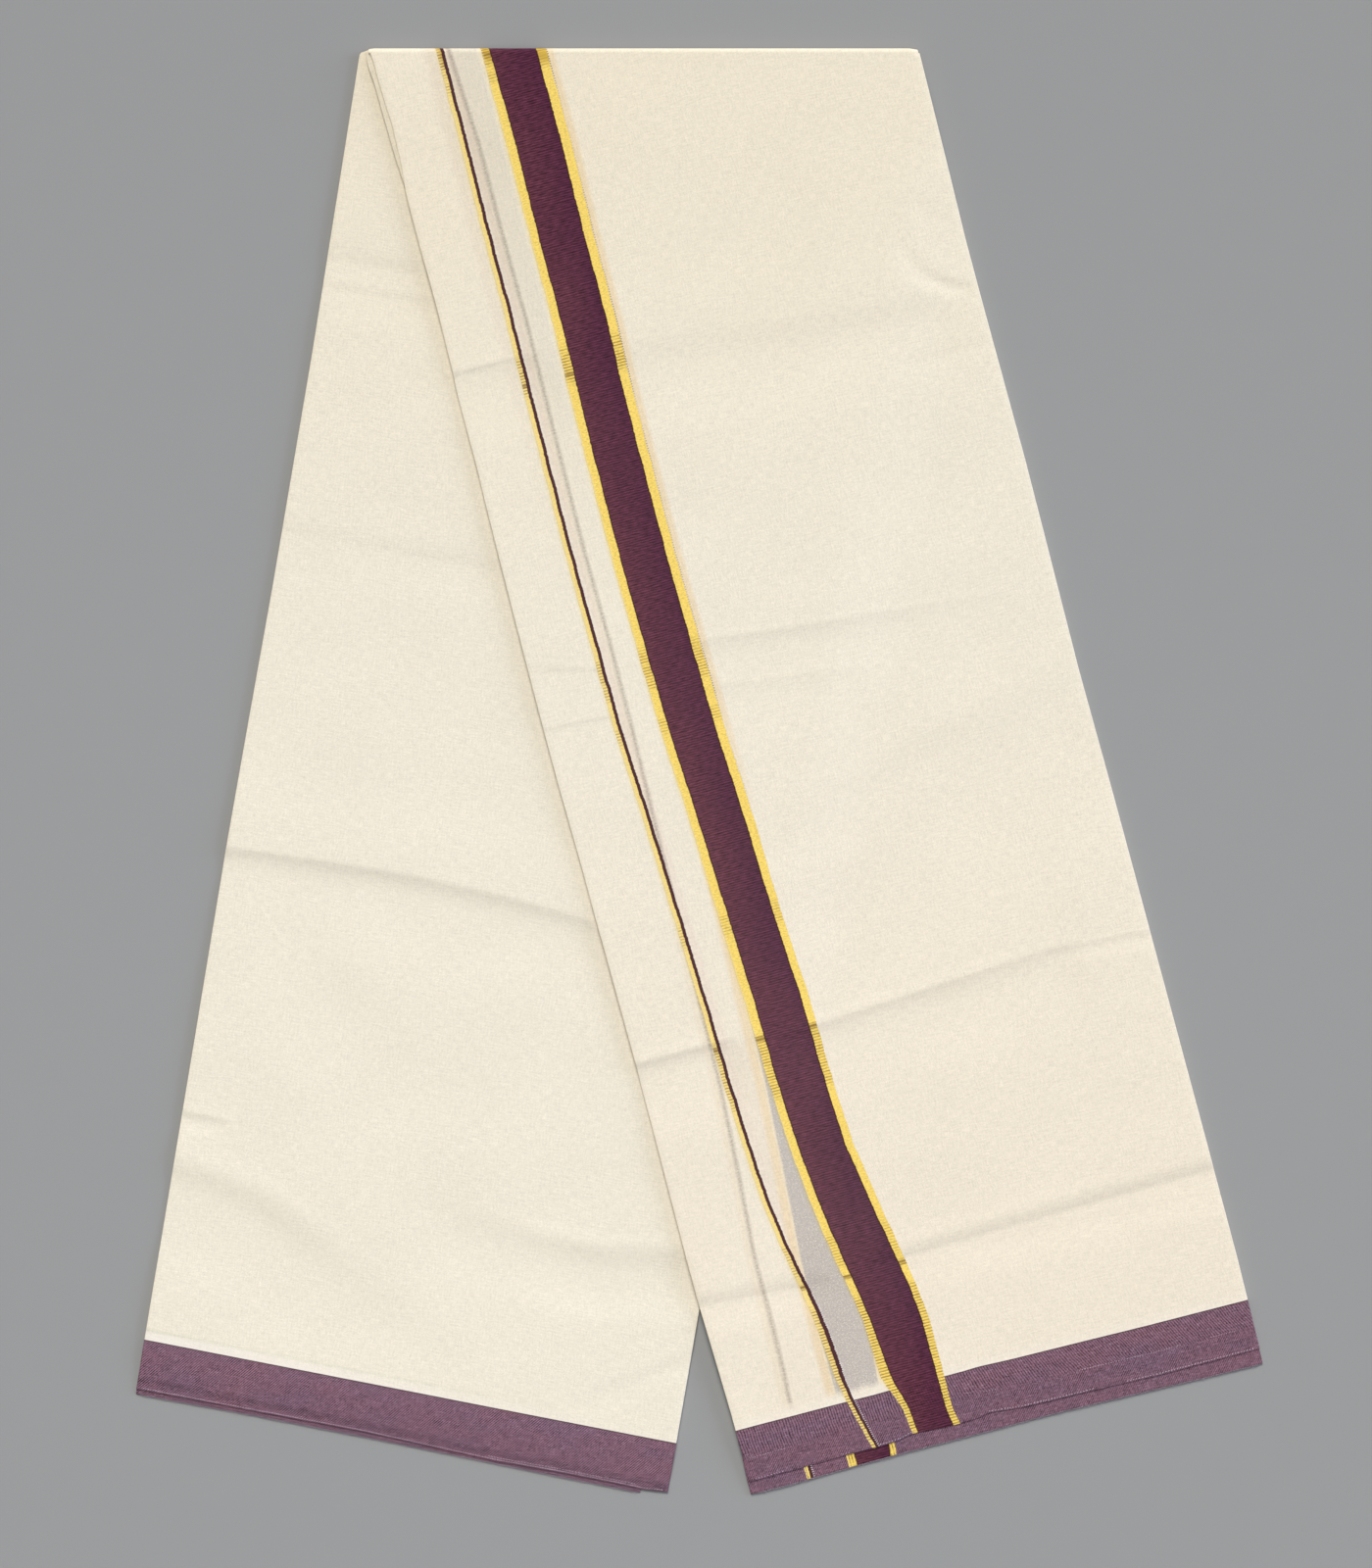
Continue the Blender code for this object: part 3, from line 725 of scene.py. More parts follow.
def hem_lift(strip, row):
    """How far the doubled hem stands proud, less the pull of its stitches and the end's sag."""
    from_hem = strip.end.hem.left - row.left
    sag = strip.end.sink * smoothstep(1.0 - from_hem / strip.end.reach)
    turn = strip.end.turn
    if not turn:
        return -sag
    lift = HEM_RISE * smoothstep((turn + HEM_OVERLAP - from_hem) / HEM_EASE)
    groove = 1.0 - smoothstep(abs(from_hem - turn + GROOVE_PLACE) / GROOVE_HALF)
    return lift - STITCH_GROOVE * groove - sag


def spread_rows(start, end, zones):
    """Rows from one section to another, close together in the zones."""
    anchors = sorted([(start.left, start.right), (end.left, end.right)]
                     + [(zone.left, zone.right) for zone in zones
                        if start.left < zone.left < end.left])
    places = []
    place = start.left
    while place < end.left - FINE_STEP / 2:
        places.append(place)
        fine = any(zone.left - zone.before < place < zone.left + zone.after for zone in zones)
        place += FINE_STEP if fine else ROW_STEP
    places.append(end.left)
    return [Row(place, read_table(anchors, place)) for place in places]


def short_of(section, left, right=None):
    """A section moved back towards the turn, as far at its right as at its left by default."""
    return Section(section.left - left, section.right - (left if right is None else right))


def hem_rows(hem, bend, turn):
    """Rows that close the strip's end: round a bend and, on a turned hem, back below it."""
    rows = []
    for k in range(1, HEM_STEPS + 1):
        angle = math.pi * k / HEM_STEPS
        back = bend * (1.0 - math.sin(angle))
        rows.append(Row(*short_of(hem, back), depth=bend * (1.0 - math.cos(angle)),
                        flat=back + bend * (angle - 1.0)))
    for step in TURNED_STEPS if turn else ():
        back = bend + turn * step
        rows.append(Row(*short_of(hem, back), depth=2.0 * bend, flat=2.0 * back + bend))
    return rows


def band_rows(band, hem, bend, turn, fine):
    """Rows of an end band: down to its hem, the last stretch of them close, and round it."""
    end = short_of(hem, bend)
    zone = Zone(end.left, end.right, fine, FINE_PAST)
    return spread_rows(band, end, (zone,)) + hem_rows(hem, bend, turn)


def start_rows(half, bend):
    """Rows that close a strip's end at the turn, from its underside up."""
    rows = []
    for k in range(HEM_STEPS):
        turn = math.pi / 2 * (1.0 - k / HEM_STEPS)
        section = short_of(start_section(half), -bend * (1.0 - math.sin(turn)))
        rows.append(Row(*section, depth=bend * (1.0 - math.cos(turn)), flat=-bend * turn))
    return rows


def start_section(half):
    """Section where a half's layers start, just short of the turn."""
    reach = TURN_RADIUS + SEAM
    left, right = (math.cos(math.radians(edge.lean)) for edge in (half.left, half.right))
    return Section(reach / left, reach / right)


def turn_rows():
    """Rows round the turn, from below up to its top."""
    return [Row(0.0, 0.0, angle=math.pi * (1.0 - k / TURN_STEPS)) for k in range(TURN_STEPS + 1)]


# ---- meshes ----
def new_piece(name, bm, material):
    """Object of a bmesh, in the scene."""
    mesh = bpy.data.meshes.new(name)
    bm.to_mesh(mesh)
    bm.free()
    mesh.shade_smooth()
    mesh.materials.append(material)
    obj = bpy.data.objects.new(name, mesh)
    bpy.context.scene.collection.objects.link(obj)
    return obj


def point_grid(bm, rows):
    """A grid through rows of points; returns the row and the column of each vertex."""
    last_row, last_column = len(rows) - 1, len(rows[0]) - 1
    made = bmesh.ops.create_grid(bm, x_segments=last_column, y_segments=last_row, size=1.0)
    places = {}
    for vert in made["verts"]:
        column = round((vert.co.x + 1.0) / 2.0 * last_column)
        row = round((1.0 - vert.co.y) / 2.0 * last_row)
        places[vert] = (row, column)
        vert.co = rows[row][column]
    return places


def add_map(bm, title, places):
    """UV map of a piece, from each vertex's place in it."""
    layer = bm.loops.layers.uv.new(title)
    for face in bm.faces:
        for loop in face.loops:
            loop[layer].uv = places[loop.vert]


def cloth_map(strip, row, band, spot):
    """What a point's three maps hold: threads, border, and the layer below."""
    x, y = spot.flat
    threads = thread_place(strip.half, x, BOX_TOP - y)
    place = pattern_place(strip.border or BORDER, x, y)
    gap = blend(band.left - row.left - row.flat, band.right - row.right - row.flat, spot.part)
    return {"threads": threads, "border": (place, bars_at(place, threads[1])),
            "below": (pattern_place(BORDER_BELOW, x, y), gap / MM)}


def add_sheet(name, strip, rows, band, material):
    """A sheet of cloth through rows of points, with its wall."""
    spots = [row_spots(strip, row) for row in rows]
    bm = bmesh.new()
    grid = point_grid(bm, [[spot.co for spot in line] for line in spots])
    maps = {vert: cloth_map(strip, rows[row], band, spots[row][column])
            for vert, (row, column) in grid.items()}
    for title in ("threads", "border", "below"):
        add_map(bm, title, {vert: places[title] for vert, places in maps.items()})
    bm.normal_update()
    if sum(face.normal.z * face.calc_area() for face in bm.faces) < 0.0:
        bmesh.ops.reverse_faces(bm, faces=bm.faces[:])
    obj = new_piece(name, bm, material)
    wall = obj.modifiers.new("wall", "SOLIDIFY")
    wall.thickness = bpy.context.scene.dhoti_sizes.wall
    wall.offset = -1.0
    crisp = obj.modifiers.new("crisp edges", "EDGE_SPLIT")
    crisp.split_angle = math.radians(WALL_CRISP)
    return obj


def declare(obj, nodes):
    """Ride and replace one piece of cloth: hang it on the root and hide the parts it stands for."""
    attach(obj, "root")
    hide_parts(*nodes)


def pressed_stack(name, half, height, layers, rows, material):
    """Hidden folds of a half: flattened loops of cloth, one on another."""
    each = height / layers
    bm = bmesh.new()
    for layer in range(layers):
        inset = INNER_INSET + LOOP_STAGGER * (layer % 2)
        side = [(inset + inward * each, each * layer + up * each) for inward, up in LOOP_SIDE]
        loft(bm, [loop_ring(half, row, side, inset, each) for row in rows])
    add_map(bm, "threads", {vert: thread_place(half, vert.co.x, BOX_TOP - vert.co.y)
                            for vert in bm.verts})
    obj = new_piece(name, bm, material)
    obj.data.set_sharp_from_angle(angle=math.radians(LOOP_CRISP))
    return obj


def loop_ring(half, row, side, inset, bend):
    """Ring of points round one flattened loop of cloth, on a section of its half."""
    ends = section_ends(half, row)
    width = math.dist(*ends)
    flat = [blend(inset + bend, width - inset - bend, k / FOLD_COLUMNS)
            for k in range(1, FOLD_COLUMNS)]
    ring = [*side, *((place, side[-1][1]) for place in flat),
            *((width - place, up) for place, up in reversed(side)),
            *((place, side[0][1]) for place in reversed(flat)), side[0]]
    points = []
    for place, up in ring:
        x, y = across_row(ends, place / width)
        points.append(Vector((x, y, settled(half, x, y, up))))
    return points


def loft(bm, rings):
    """Closed solid through rings of points whose last point repeats the first."""
    verts = list(point_grid(bm, rings))
    bmesh.ops.remove_doubles(bm, verts=verts, dist=DOUBLES)
    edges = [edge for edge in bm.edges if edge.is_boundary]
    bmesh.ops.holes_fill(bm, edges=edges)
    bmesh.ops.recalc_face_normals(bm, faces=bm.faces[:])


# ---- node helpers ----
class Net:
    """A node tree, with short calls that add a node and return its output."""

    def __init__(self, tree):
        self.tree = tree

    def feed(self, socket, value):
        """Link a socket to another, or give it a constant."""
        if isinstance(value, bpy.types.NodeSocket):
            self.tree.links.new(value, socket)
        else:
            socket.default_value = value

    def math(self, operation, *values, clamp=False):
        """Math node."""
        node = self.tree.nodes.new("ShaderNodeMath")
        node.operation = operation
        node.use_clamp = clamp
        for socket, value in zip(node.inputs, values):
            self.feed(socket, value)
        return node.outputs[0]

    def add(self, first, *others):
        """Sum of two or more values."""
        for other in others:
            first = self.math("ADD", first, other)
        return first

    def times(self, first, *others):
        """Product of two or more values."""
        for other in others:
            first = self.math("MULTIPLY", first, other)
        return first

    def line(self, value, gain, shift):
        """Value times gain plus shift."""
        return self.math("MULTIPLY_ADD", value, gain, shift)

    def ramp(self, value, gain, shift):
        """The same, held between 0 and 1."""
        return self.math("MULTIPLY_ADD", value, gain, shift, clamp=True)

    def rise(self, value, start, end):
        """0 where a value is at start, 1 where it is at end, held between them."""
        return self.ramp(value, 1.0 / (end - start), -start / (end - start))

    def wave(self, place, pitch):
        """Sine wave from -1 to 1 along a place."""
        return self.math("SINE", self.times(place, 2.0 * math.pi / pitch))

    def mix(self, part, low, high, kind="MIX"):
        """Colour between low and high, or their product."""
        node = self.tree.nodes.new("ShaderNodeMix")
        node.data_type = "RGBA"
        node.blend_type = kind
        self.feed(node.inputs["Factor"], part)
        self.feed(node.inputs[6], low)
        self.feed(node.inputs[7], high)
        return node.outputs[2]

    def tint(self, part, colour, other):
        """A colour multiplied by another, as far as part says."""
        return self.mix(part, colour, other, "MULTIPLY")

    def shaded(self, colour, shade):
        """A colour multiplied by a number."""
        grey = self.tree.nodes.new("ShaderNodeCombineColor")
        for socket in grey.inputs:
            self.feed(socket, shade)
        return self.tint(1.0, colour, grey.outputs[0])

    def scaled(self, vector, factors):
        """Vector multiplied by constant factors."""
        node = self.tree.nodes.new("ShaderNodeVectorMath")
        node.operation = "MULTIPLY"
        self.feed(node.inputs[0], vector)
        node.inputs[1].default_value = factors
        return node.outputs[0]

    def parts(self, vector):
        """The x and y of a vector."""
        node = self.tree.nodes.new("ShaderNodeSeparateXYZ")
        self.feed(node.inputs[0], vector)
        return node.outputs[0], node.outputs[1]

    def clouds(self, vector, across, along, detail=2.0):
        """Noise from 0 to 1, with so many patches a metre across and along."""
        node = self.tree.nodes.new("ShaderNodeTexNoise")
        node.inputs["Scale"].default_value = 1.0
        node.inputs["Detail"].default_value = detail
        self.feed(node.inputs["Vector"], self.scaled(vector, (across, along, across)))
        return node.outputs[0]

    def uv(self, name):
        """One of the cloth's own maps."""
        node = self.tree.nodes.new("ShaderNodeUVMap")
        node.uv_map = name
        return node.outputs[0]

    def group(self, name, values):
        """Outputs of a group, given its inputs by name."""
        node = self.tree.nodes.new("ShaderNodeGroup")
        node.node_tree = bpy.data.node_groups[name]
        for title, value in values.items():
            self.feed(node.inputs[title], value)
        return node.outputs

    def stripe(self, place, start, end, soft=0.3):
        """Mask of what lies between two places."""
        values = {"Place": place, "From": start, "To": end, "Soft": soft}
        return self.group("stripe", values)["Mask"]


def new_group(name, inputs, outputs):
    """Node group with named sockets: its net, what it is given and what it puts out."""
    tree = bpy.data.node_groups.new(name, "ShaderNodeTree")
    for title, kind, value in inputs:
        socket = tree.interface.new_socket(title, in_out="INPUT", socket_type=kind)
        if value is not None:
            socket.default_value = value
    for title, kind in outputs:
        tree.interface.new_socket(title, in_out="OUTPUT", socket_type=kind)
    given = tree.nodes.new("NodeGroupInput")
    made = tree.nodes.new("NodeGroupOutput")
    return Net(tree), given.outputs, made.inputs


FLOAT = "NodeSocketFloat"
COLOUR = "NodeSocketColor"
PLACE = "NodeSocketVector"


def stripe_group():
    """1 between two places across, 0 outside them, soft at its edges."""
    net, given, made = new_group(
        "stripe", [("Place", FLOAT, 0.0), ("From", FLOAT, 0.0), ("To", FLOAT, 1.0),
                   ("Soft", FLOAT, 0.3)], [("Mask", FLOAT)])
    half = net.times(given["Soft"], 0.5)
    into = net.add(net.math("SUBTRACT", given["Place"], given["From"]), half)
    out = net.add(net.math("SUBTRACT", given["To"], given["Place"]), half)
    into = net.math("DIVIDE", into, given["Soft"], clamp=True)
    out = net.math("DIVIDE", out, given["Soft"], clamp=True)
    net.feed(made["Mask"], net.times(into, out))


def weave_group():
    """Plain weave with uneven threads: a height, and a shade around 1."""
    net, given, made = new_group(
        "plain weave", [("Threads", PLACE, None), ("Slubs", FLOAT, 0.21)],
        [("Height", FLOAT), ("Shade", FLOAT)])
    place = given["Threads"]
    across, along = net.parts(place)
    crossing = net.times(net.wave(across, WEAVE_PITCH), net.wave(along, WEAVE_PITCH))
    weft = net.clouds(place, 130.0, 860.0)
    warp = net.clouds(place, 820.0, 160.0)
    grain = net.clouds(place, 720.0, 720.0)
    hatch = net.wave(net.add(across, along), HATCH_PITCH)
    hatch = net.times(hatch, net.math("SUBTRACT", net.clouds(place, 90.0, 90.0), 0.32), 0.22)
    uneven = net.add(weft, warp, grain, hatch, -1.5)
    patches = net.math("SUBTRACT", net.clouds(place, 16.0, 24.0, 3.0), 0.5)
    shade = net.add(net.times(uneven, given["Slubs"]), net.times(patches, 0.06), 1.0)
    net.feed(made["Shade"], shade)
    net.feed(made["Height"], net.add(net.times(crossing, 0.35), uneven))


def gold_yarn(net, given, narrow, across, along, place):
    """Gold of the border: brown weft bars, paler threads at its left edges, painted shade at the
    turn.
    """
    threads = given["Threads"]
    bars = net.ramp(net.wave(given["Bar place"], BAR_PITCH), 1.5, 0.1)
    cluster = net.ramp(net.clouds(threads, 90.0, 260.0), 3.2, -0.75)
    bars = net.times(bars, cluster, net.math("MINIMUM", given["Bars"], 1.0), 0.95)
    bars = net.add(bars, net.times(net.ramp(given["Bars"], 1.0, -1.0), 0.75))
    glints = net.ramp(net.clouds(threads, 500.0, 1100.0), 3.0, -1.1)
    yarn = net.mix(glints, net.shaded(given["Gold"], 1.10), net.shaded(given["Gold"], 0.82))
    yarn = net.mix(net.times(narrow, 0.16), yarn, PALE_GOLD)
    lean = math.radians(FRONT.lean)
    down = net.add(net.times(along, math.cos(lean)), net.times(across, -math.sin(lean)))
    # painted shade: the gold darkened where it goes round the turn
    yarn = net.mix(net.times(net.rise(down, 0.0132, 0.0072), 0.75), yarn, TURN_SHADE_GOLD)
    fringe = net.add(net.stripe(place, -0.8, 1.6, 1.8),
                     net.stripe(place, GOLD_START - 0.4, GOLD_START + 1.0, 1.2))
    yarn = net.mix(net.times(fringe, 0.5), yarn, FRINGE_GOLD)
    return net.mix(net.math("MINIMUM", net.times(bars, 0.85), 0.88), yarn, BAR_BROWN)


def maroon_weft(net, given, ribs, along, place):
    """Maroon of the border: ribbed, and lighter and redder at its left side."""
    threads = given["Threads"]
    side = net.math("DIVIDE", net.math("SUBTRACT", RIGHT_START, place),
                    RIGHT_START - MAROON_START, clamp=True)
    drift = net.line(net.clouds(threads, 40.0, 12.0), 1.2, -0.6)
    streaks = net.line(net.clouds(threads, 200.0, 700.0), 1.4, -0.7)
    shade = net.add(net.times(ribs, 0.24), net.times(streaks, 1.4), 1.0)
    dark = net.tint(1.0, given["Maroon"], MAROON_SIDE)
    weft = net.shaded(net.mix(net.add(side, drift), dark, given["Maroon"]), shade)
    # painted light: the maroon paler further from the turn, and gone again before the end band
    painted_light_down = net.times(net.ramp(along, 1.1, 0.0), net.rise(along, 0.95, 0.825), 0.050)
    return net.mix(painted_light_down, weft, LOWER_LIT_MAROON)


def border_group():
    """The woven border: its colour, where it is, and its ribs' height."""
    net, given, made = new_group(
        "woven border", [("Place", FLOAT, 0.0), ("Bars", FLOAT, 0.0), ("Bar place", FLOAT, 0.0),
                         ("Threads", PLACE, None), ("Gold", COLOUR, None),
                         ("Maroon", COLOUR, None), ("Loops", FLOAT, 0.6)],
        [("Colour", COLOUR), ("Mask", FLOAT), ("Height", FLOAT), ("Gold part", FLOAT)])
    threads = given["Threads"]
    across, along = net.parts(threads)
    jitter = net.times(net.math("SUBTRACT", net.clouds(threads, 0.0, 480.0, 1.0), 0.5), 1.1)
    wander = net.times(net.math("SUBTRACT", net.clouds(threads, 0.0, 60.0), 0.5), 1.8)
    place = net.add(given["Place"], jitter, wander)
    narrow_gold = net.stripe(place, 0.0, NARROW_GOLD)
    narrow_maroon = net.stripe(place, NARROW_GOLD, NARROW_END)
    maroon = net.stripe(place, MAROON_START, RIGHT_START)
    gold = net.add(narrow_gold, net.stripe(place, GOLD_START, MAROON_START),
                   net.stripe(place, RIGHT_START, BORDER_END))
    edges = net.add(net.stripe(place, MAROON_START - 0.2, MAROON_START + 0.7, 0.4),
                    net.stripe(place, RIGHT_START - 0.7, RIGHT_START + 0.2, 0.4))
    ribs = net.wave(along, RIB_PITCH)
    colour = net.mix(gold, maroon_weft(net, given, ribs, along, place),
                     gold_yarn(net, given, narrow_gold, across, along, place))
    colour = net.mix(narrow_maroon, colour, NARROW_MAROON)
    colour = net.mix(net.times(edges, 0.8), colour, EDGE_BROWN)

    # pale loops of thread beside the narrow line
    loops = net.ramp(net.wave(along, LOOP_PITCH), 2.0, -0.2)
    beside = net.stripe(place, NARROW_END - 0.1, NARROW_END + 1.0)
    loops = net.times(loops, beside, given["Loops"], 1.4)
    colour = net.mix(net.ramp(loops, 5.0, 0.0), colour, LOOP_WHITE)
    mask = net.math("ADD", net.add(gold, maroon, narrow_maroon), loops, clamp=True)

    net.feed(made["Colour"], colour)
    net.feed(made["Mask"], mask)
    net.feed(made["Height"], net.add(net.times(ribs, maroon), net.times(gold, 0.6)))
    net.feed(made["Gold part"], gold)


def surface(net, colour, roughness, height, distance):
    """The cloth's shader, with its bump."""
    shader = net.tree.nodes["Principled BSDF"]
    net.feed(shader.inputs["Base Color"], colour)
    net.feed(shader.inputs["Roughness"], roughness)
    shader.inputs["Specular IOR Level"].default_value = 0.12
    bump = net.tree.nodes.new("ShaderNodeBump")
    bump.inputs["Strength"].default_value = 0.7
    bump.inputs["Distance"].default_value = distance
    net.feed(bump.inputs["Height"], height)
    net.feed(shader.inputs["Normal"], bump.outputs[0])


def new_material(name):
    """New material's net of nodes."""
    material = bpy.data.materials.new(name)
    material.use_nodes = True
    return Net(material.node_tree)


def woven_border(net, place, bars, bar_place, threads, loops):
    """The woven border in a material."""
    colours = bpy.context.scene.dhoti_colours
    return net.group("woven border", {
        "Place": place, "Bars": bars, "Bar place": bar_place, "Threads": threads, "Loops": loops,
        "Gold": tuple(colours.gold), "Maroon": tuple(colours.maroon)})


def second_layer(net, colour, place, under_place, gap, threads):
    """What shows through the front layer of the second one's border."""
    across, along = net.parts(threads)
    ragged = net.times(net.math("SUBTRACT", net.clouds(threads, 420.0, 60.0), 0.5), 7.0)
    clear = net.ramp(net.add(gap, ragged), 0.18, -0.85)
    left_side = net.times(net.stripe(place, -60.0, GOLD_START + 0.5, 0.5), clear)
    # its narrow line, broken into dashes
    dashes = net.ramp(net.clouds(threads, 500.0, 900.0), 3.0, -0.9)
    narrow = net.times(net.stripe(under_place, NARROW_GOLD, NARROW_END + 0.4, 2.2), clear)
    narrow = net.times(narrow, net.line(dashes, 0.7, 0.35))
    colour = net.tint(narrow, colour, LINE_BELOW)
    # its gold lines, with their bars
    golds = net.add(net.stripe(under_place, GOLD_START - 0.5, MAROON_START - 0.5, 3.4),
                    net.times(net.stripe(under_place, RIGHT_START, BORDER_END, 4.0), 0.5))
    colour = net.tint(net.times(golds, left_side, 0.8), colour, GOLD_BELOW)
    bars = net.times(net.ramp(net.wave(along, BAR_PITCH), 2.0, 0.0), net.rise(gap, 65.0, 15.0))
    colour = net.tint(net.times(golds, left_side, bars, 0.15), colour, BARS_BELOW)
    narrow_gold = net.times(net.stripe(under_place, -1.5, NARROW_GOLD + 0.5, 2.2), clear, 0.25)
    colour = net.tint(narrow_gold, colour, NARROW_BELOW)
    # the plain cloth between its lines
    between = net.times(net.stripe(place, NARROW_END + 1.0, GOLD_START, 2.0),
                        net.stripe(under_place, NARROW_END + 0.5, GOLD_START, 4.0),
                        net.rise(gap, 300.0, 180.0))
    colour = net.tint(net.times(between, 0.8), colour, BETWEEN_BELOW)
    # its maroon: the grey wedge
    picks = net.wave(net.add(across, net.times(along, 1.7)), PICK_PITCH)
    coarse = net.line(net.clouds(threads, 800.0, 1100.0, 1.0), 2.0, -1.0)
    wedge = net.add(net.times(picks, 0.10), coarse, 0.93)
    wedge = net.times(net.stripe(under_place, MAROON_START, RIGHT_START, 1.5), left_side, wedge)
    return net.tint(wedge, colour, MAROON_BELOW)


def border_sides(net, colour, place, gap, threads):
    """The cloth at the border's sides: a glow and dots at its right, grey near the turn."""
    across, along = net.parts(threads)
    upper = net.rise(gap, 414.0, 504.0)
    hatch = net.ramp(net.wave(net.add(across, along), HATCH_PITCH), 0.5, 0.5)
    glow = net.times(net.stripe(place, BORDER_END - 1.5, BORDER_END + 4.6, 3.4), upper,
                     net.line(hatch, 0.6, 0.6))
    colour = net.tint(glow, colour, GLOW_TINT)
    dots = net.ramp(net.wave(along, DOT_PITCH), 3.0, -0.6)
    broken = net.ramp(net.clouds(threads, 0.0, 9.0), 5.0, -1.9)
    dots = net.times(net.stripe(place, BORDER_END - 0.1, BORDER_END + 0.9), dots, upper, broken)
    colour = net.mix(net.times(dots, 0.85), colour, DOT_DARK)
    top = net.rise(gap, 592.0, 912.0)
    greyed = net.times(net.stripe(place, NARROW_END, GOLD_START - 2.0, 4.0), top)
    colour = net.tint(greyed, colour, GREY_TINT)
    colour = net.tint(net.times(net.stripe(place, -9.0, 0.5, 6.0), top), colour, BESIDE_TINT)
    fringes = net.add(net.stripe(place, -1.2, 1.0, 2.0),
                      net.stripe(place, GOLD_START - 1.4, GOLD_START + 0.5, 1.6))
    return net.tint(net.times(fringes, 0.8), colour, FRINGE_TINT)


def cream_material(name, with_border, with_show_through):
    """Unbleached cotton, with or without the woven border."""
    net = new_material(name)
    threads = net.uv("threads")
    across, along = net.parts(threads)
    under_place, gap = net.parts(net.uv("below"))
    weave = net.group("plain weave", {"Threads": threads})
    height, roughness = weave["Height"], 0.9
    # painted shade: the cloth a little darker and yellower from the turn down, in patches
    turn_shade = net.rise(along, TURN_SHADE_REACH, 0.0)
    turn_shade = net.times(turn_shade, net.line(net.clouds(threads, 7.0, 9.0), 1.2, 0.4))
    colour = net.tint(turn_shade, tuple(bpy.context.scene.dhoti_colours.cream), TURN_SHADE_TINT)
    colour = net.shaded(colour, weave["Shade"])
    warm = net.ramp(net.clouds(threads, 260.0, 320.0, 3.0), 4.0, -1.8)
    colour = net.tint(net.times(warm, 0.4), colour, WARM_TINT)

    # the last picks above the end band
    heading = 0.35 if with_border else net.rise(across, 0.14, -0.26)
    heading = net.add(net.times(net.stripe(gap, -0.5, 1.2, 0.7), 0.22),
                      net.times(net.stripe(gap, -0.5, 6.0, 3.0), heading, 0.45))
    colour = net.mix(heading, colour, HEADING)
    if with_border:
        place, bars = net.parts(net.uv("border"))
        if with_show_through:
            colour = net.tint(net.rise(along, 0.35, 0.85), colour, HEM_TINT)
            colour = second_layer(net, colour, place, under_place, gap, threads)
            colour = border_sides(net, colour, place, gap, threads)
        pinkish = net.line(net.rise(gap, 168.0, 288.0), 0.45, 0.2)
        beside = net.stripe(place, NARROW_END, NARROW_END * 2.0, 3.0)
        colour = net.tint(net.times(beside, pinkish), colour, PINK_TINT)
        torn = net.ramp(net.clouds(threads, 0.0, 160.0), 5.0, -1.8)
        loops = net.times(net.rise(gap, 120.0, 60.0), torn, 0.55)
        border = woven_border(net, place, bars, along, threads, loops)
        colour = net.mix(border["Mask"], colour, border["Colour"])
        height = net.add(height, border["Height"])
        roughness = net.line(border["Gold part"], -0.3, 0.9)
    else:
        faint = net.ramp(net.clouds(threads, 9.0, 30.0), 2.4, -0.8)
        line = net.times(net.stripe(gap, 6.2, 8.0, 1.6), faint, net.ramp(across, -3.0, 0.25))
        colour = net.tint(line, colour, HEM_LINE_TINT)
    surface(net, colour, roughness, height, COTTON_BUMP)


def band_material(name, with_border, crosswise=False):
    """Purple end band: wavy ribs where the border crosses it, a finer twill elsewhere."""
    colours = bpy.context.scene.dhoti_colours
    net = new_material(name)
    threads = net.uv("threads")
    across, along = net.parts(threads)
    gap = net.parts(net.uv("below"))[1]
    weave = net.group("plain weave", {"Threads": threads, "Slubs": 1.1})
    twill = net.wave(net.add(across, net.times(along, 0.85)), TWILL_PITCH)
    height = net.times(twill, net.ramp(net.clouds(threads, 120.0, 160.0), 2.0, -0.3))
    if with_border:
        place, bars = net.parts(net.uv("border"))
        lean = net.line(net.rise(place, 30.0, 180.0), 0.45, 0.09)
        line = net.add(net.times(across, 2.0 * math.pi / WAVY_PITCH),
                       net.times(net.clouds(threads, 70.0, 110.0, 1.0), 6.0),
                       net.times(gap, lean, 2.0 * math.pi * MM / WAVY_PITCH))
        above = net.stripe(gap, -20.0, 2.0, 6.0)
        height = net.mix(net.times(above, 0.8), height, net.math("SINE", line))
        shade = net.add(weave["Shade"], net.times(height, 0.56))
    else:
        # the groove above the back hem dips the bump, and through the shade below it also darkens
        # the colour: painted shade
        groove = net.stripe(gap, -33.0, -28.0, 4.0)
        height = net.add(height, net.times(groove, -0.35))
        shade = net.add(weave["Shade"], net.times(height, 0.85), 0.09)
    blue = net.ramp(net.clouds(threads, 22.0, 60.0, 3.0), 3.0, -1.1)
    base = net.mix(net.times(blue, 0.6), tuple(colours.band), tuple(colours.band_blue))
    colour = net.shaded(base, shade)
    flecks = net.ramp(net.clouds(threads, 330.0, 900.0, 1.0), 7.0, -4.2)
    colour = net.mix(net.times(flecks, 0.35), colour, BAND_FLECK)
    picks = net.ramp(net.clouds(threads, 500.0, 700.0, 1.0), 7.0, -4.3)
    colour = net.mix(net.times(picks, 0.5), colour, BAND_PICK)
    colour = net.mix(net.times(net.stripe(gap, -0.9, 0.5, 0.6), 0.7), colour, BAND_TOP)
    height = net.add(weave["Height"], height)
    if with_border:
        bar_place = across if crosswise else along
        border = woven_border(net, place, bars, bar_place, threads, 0.35)
        colour = net.mix(border["Mask"], colour, border["Colour"])
        height = net.add(height, border["Height"])
    surface(net, colour, 0.85, height, BAND_BUMP)


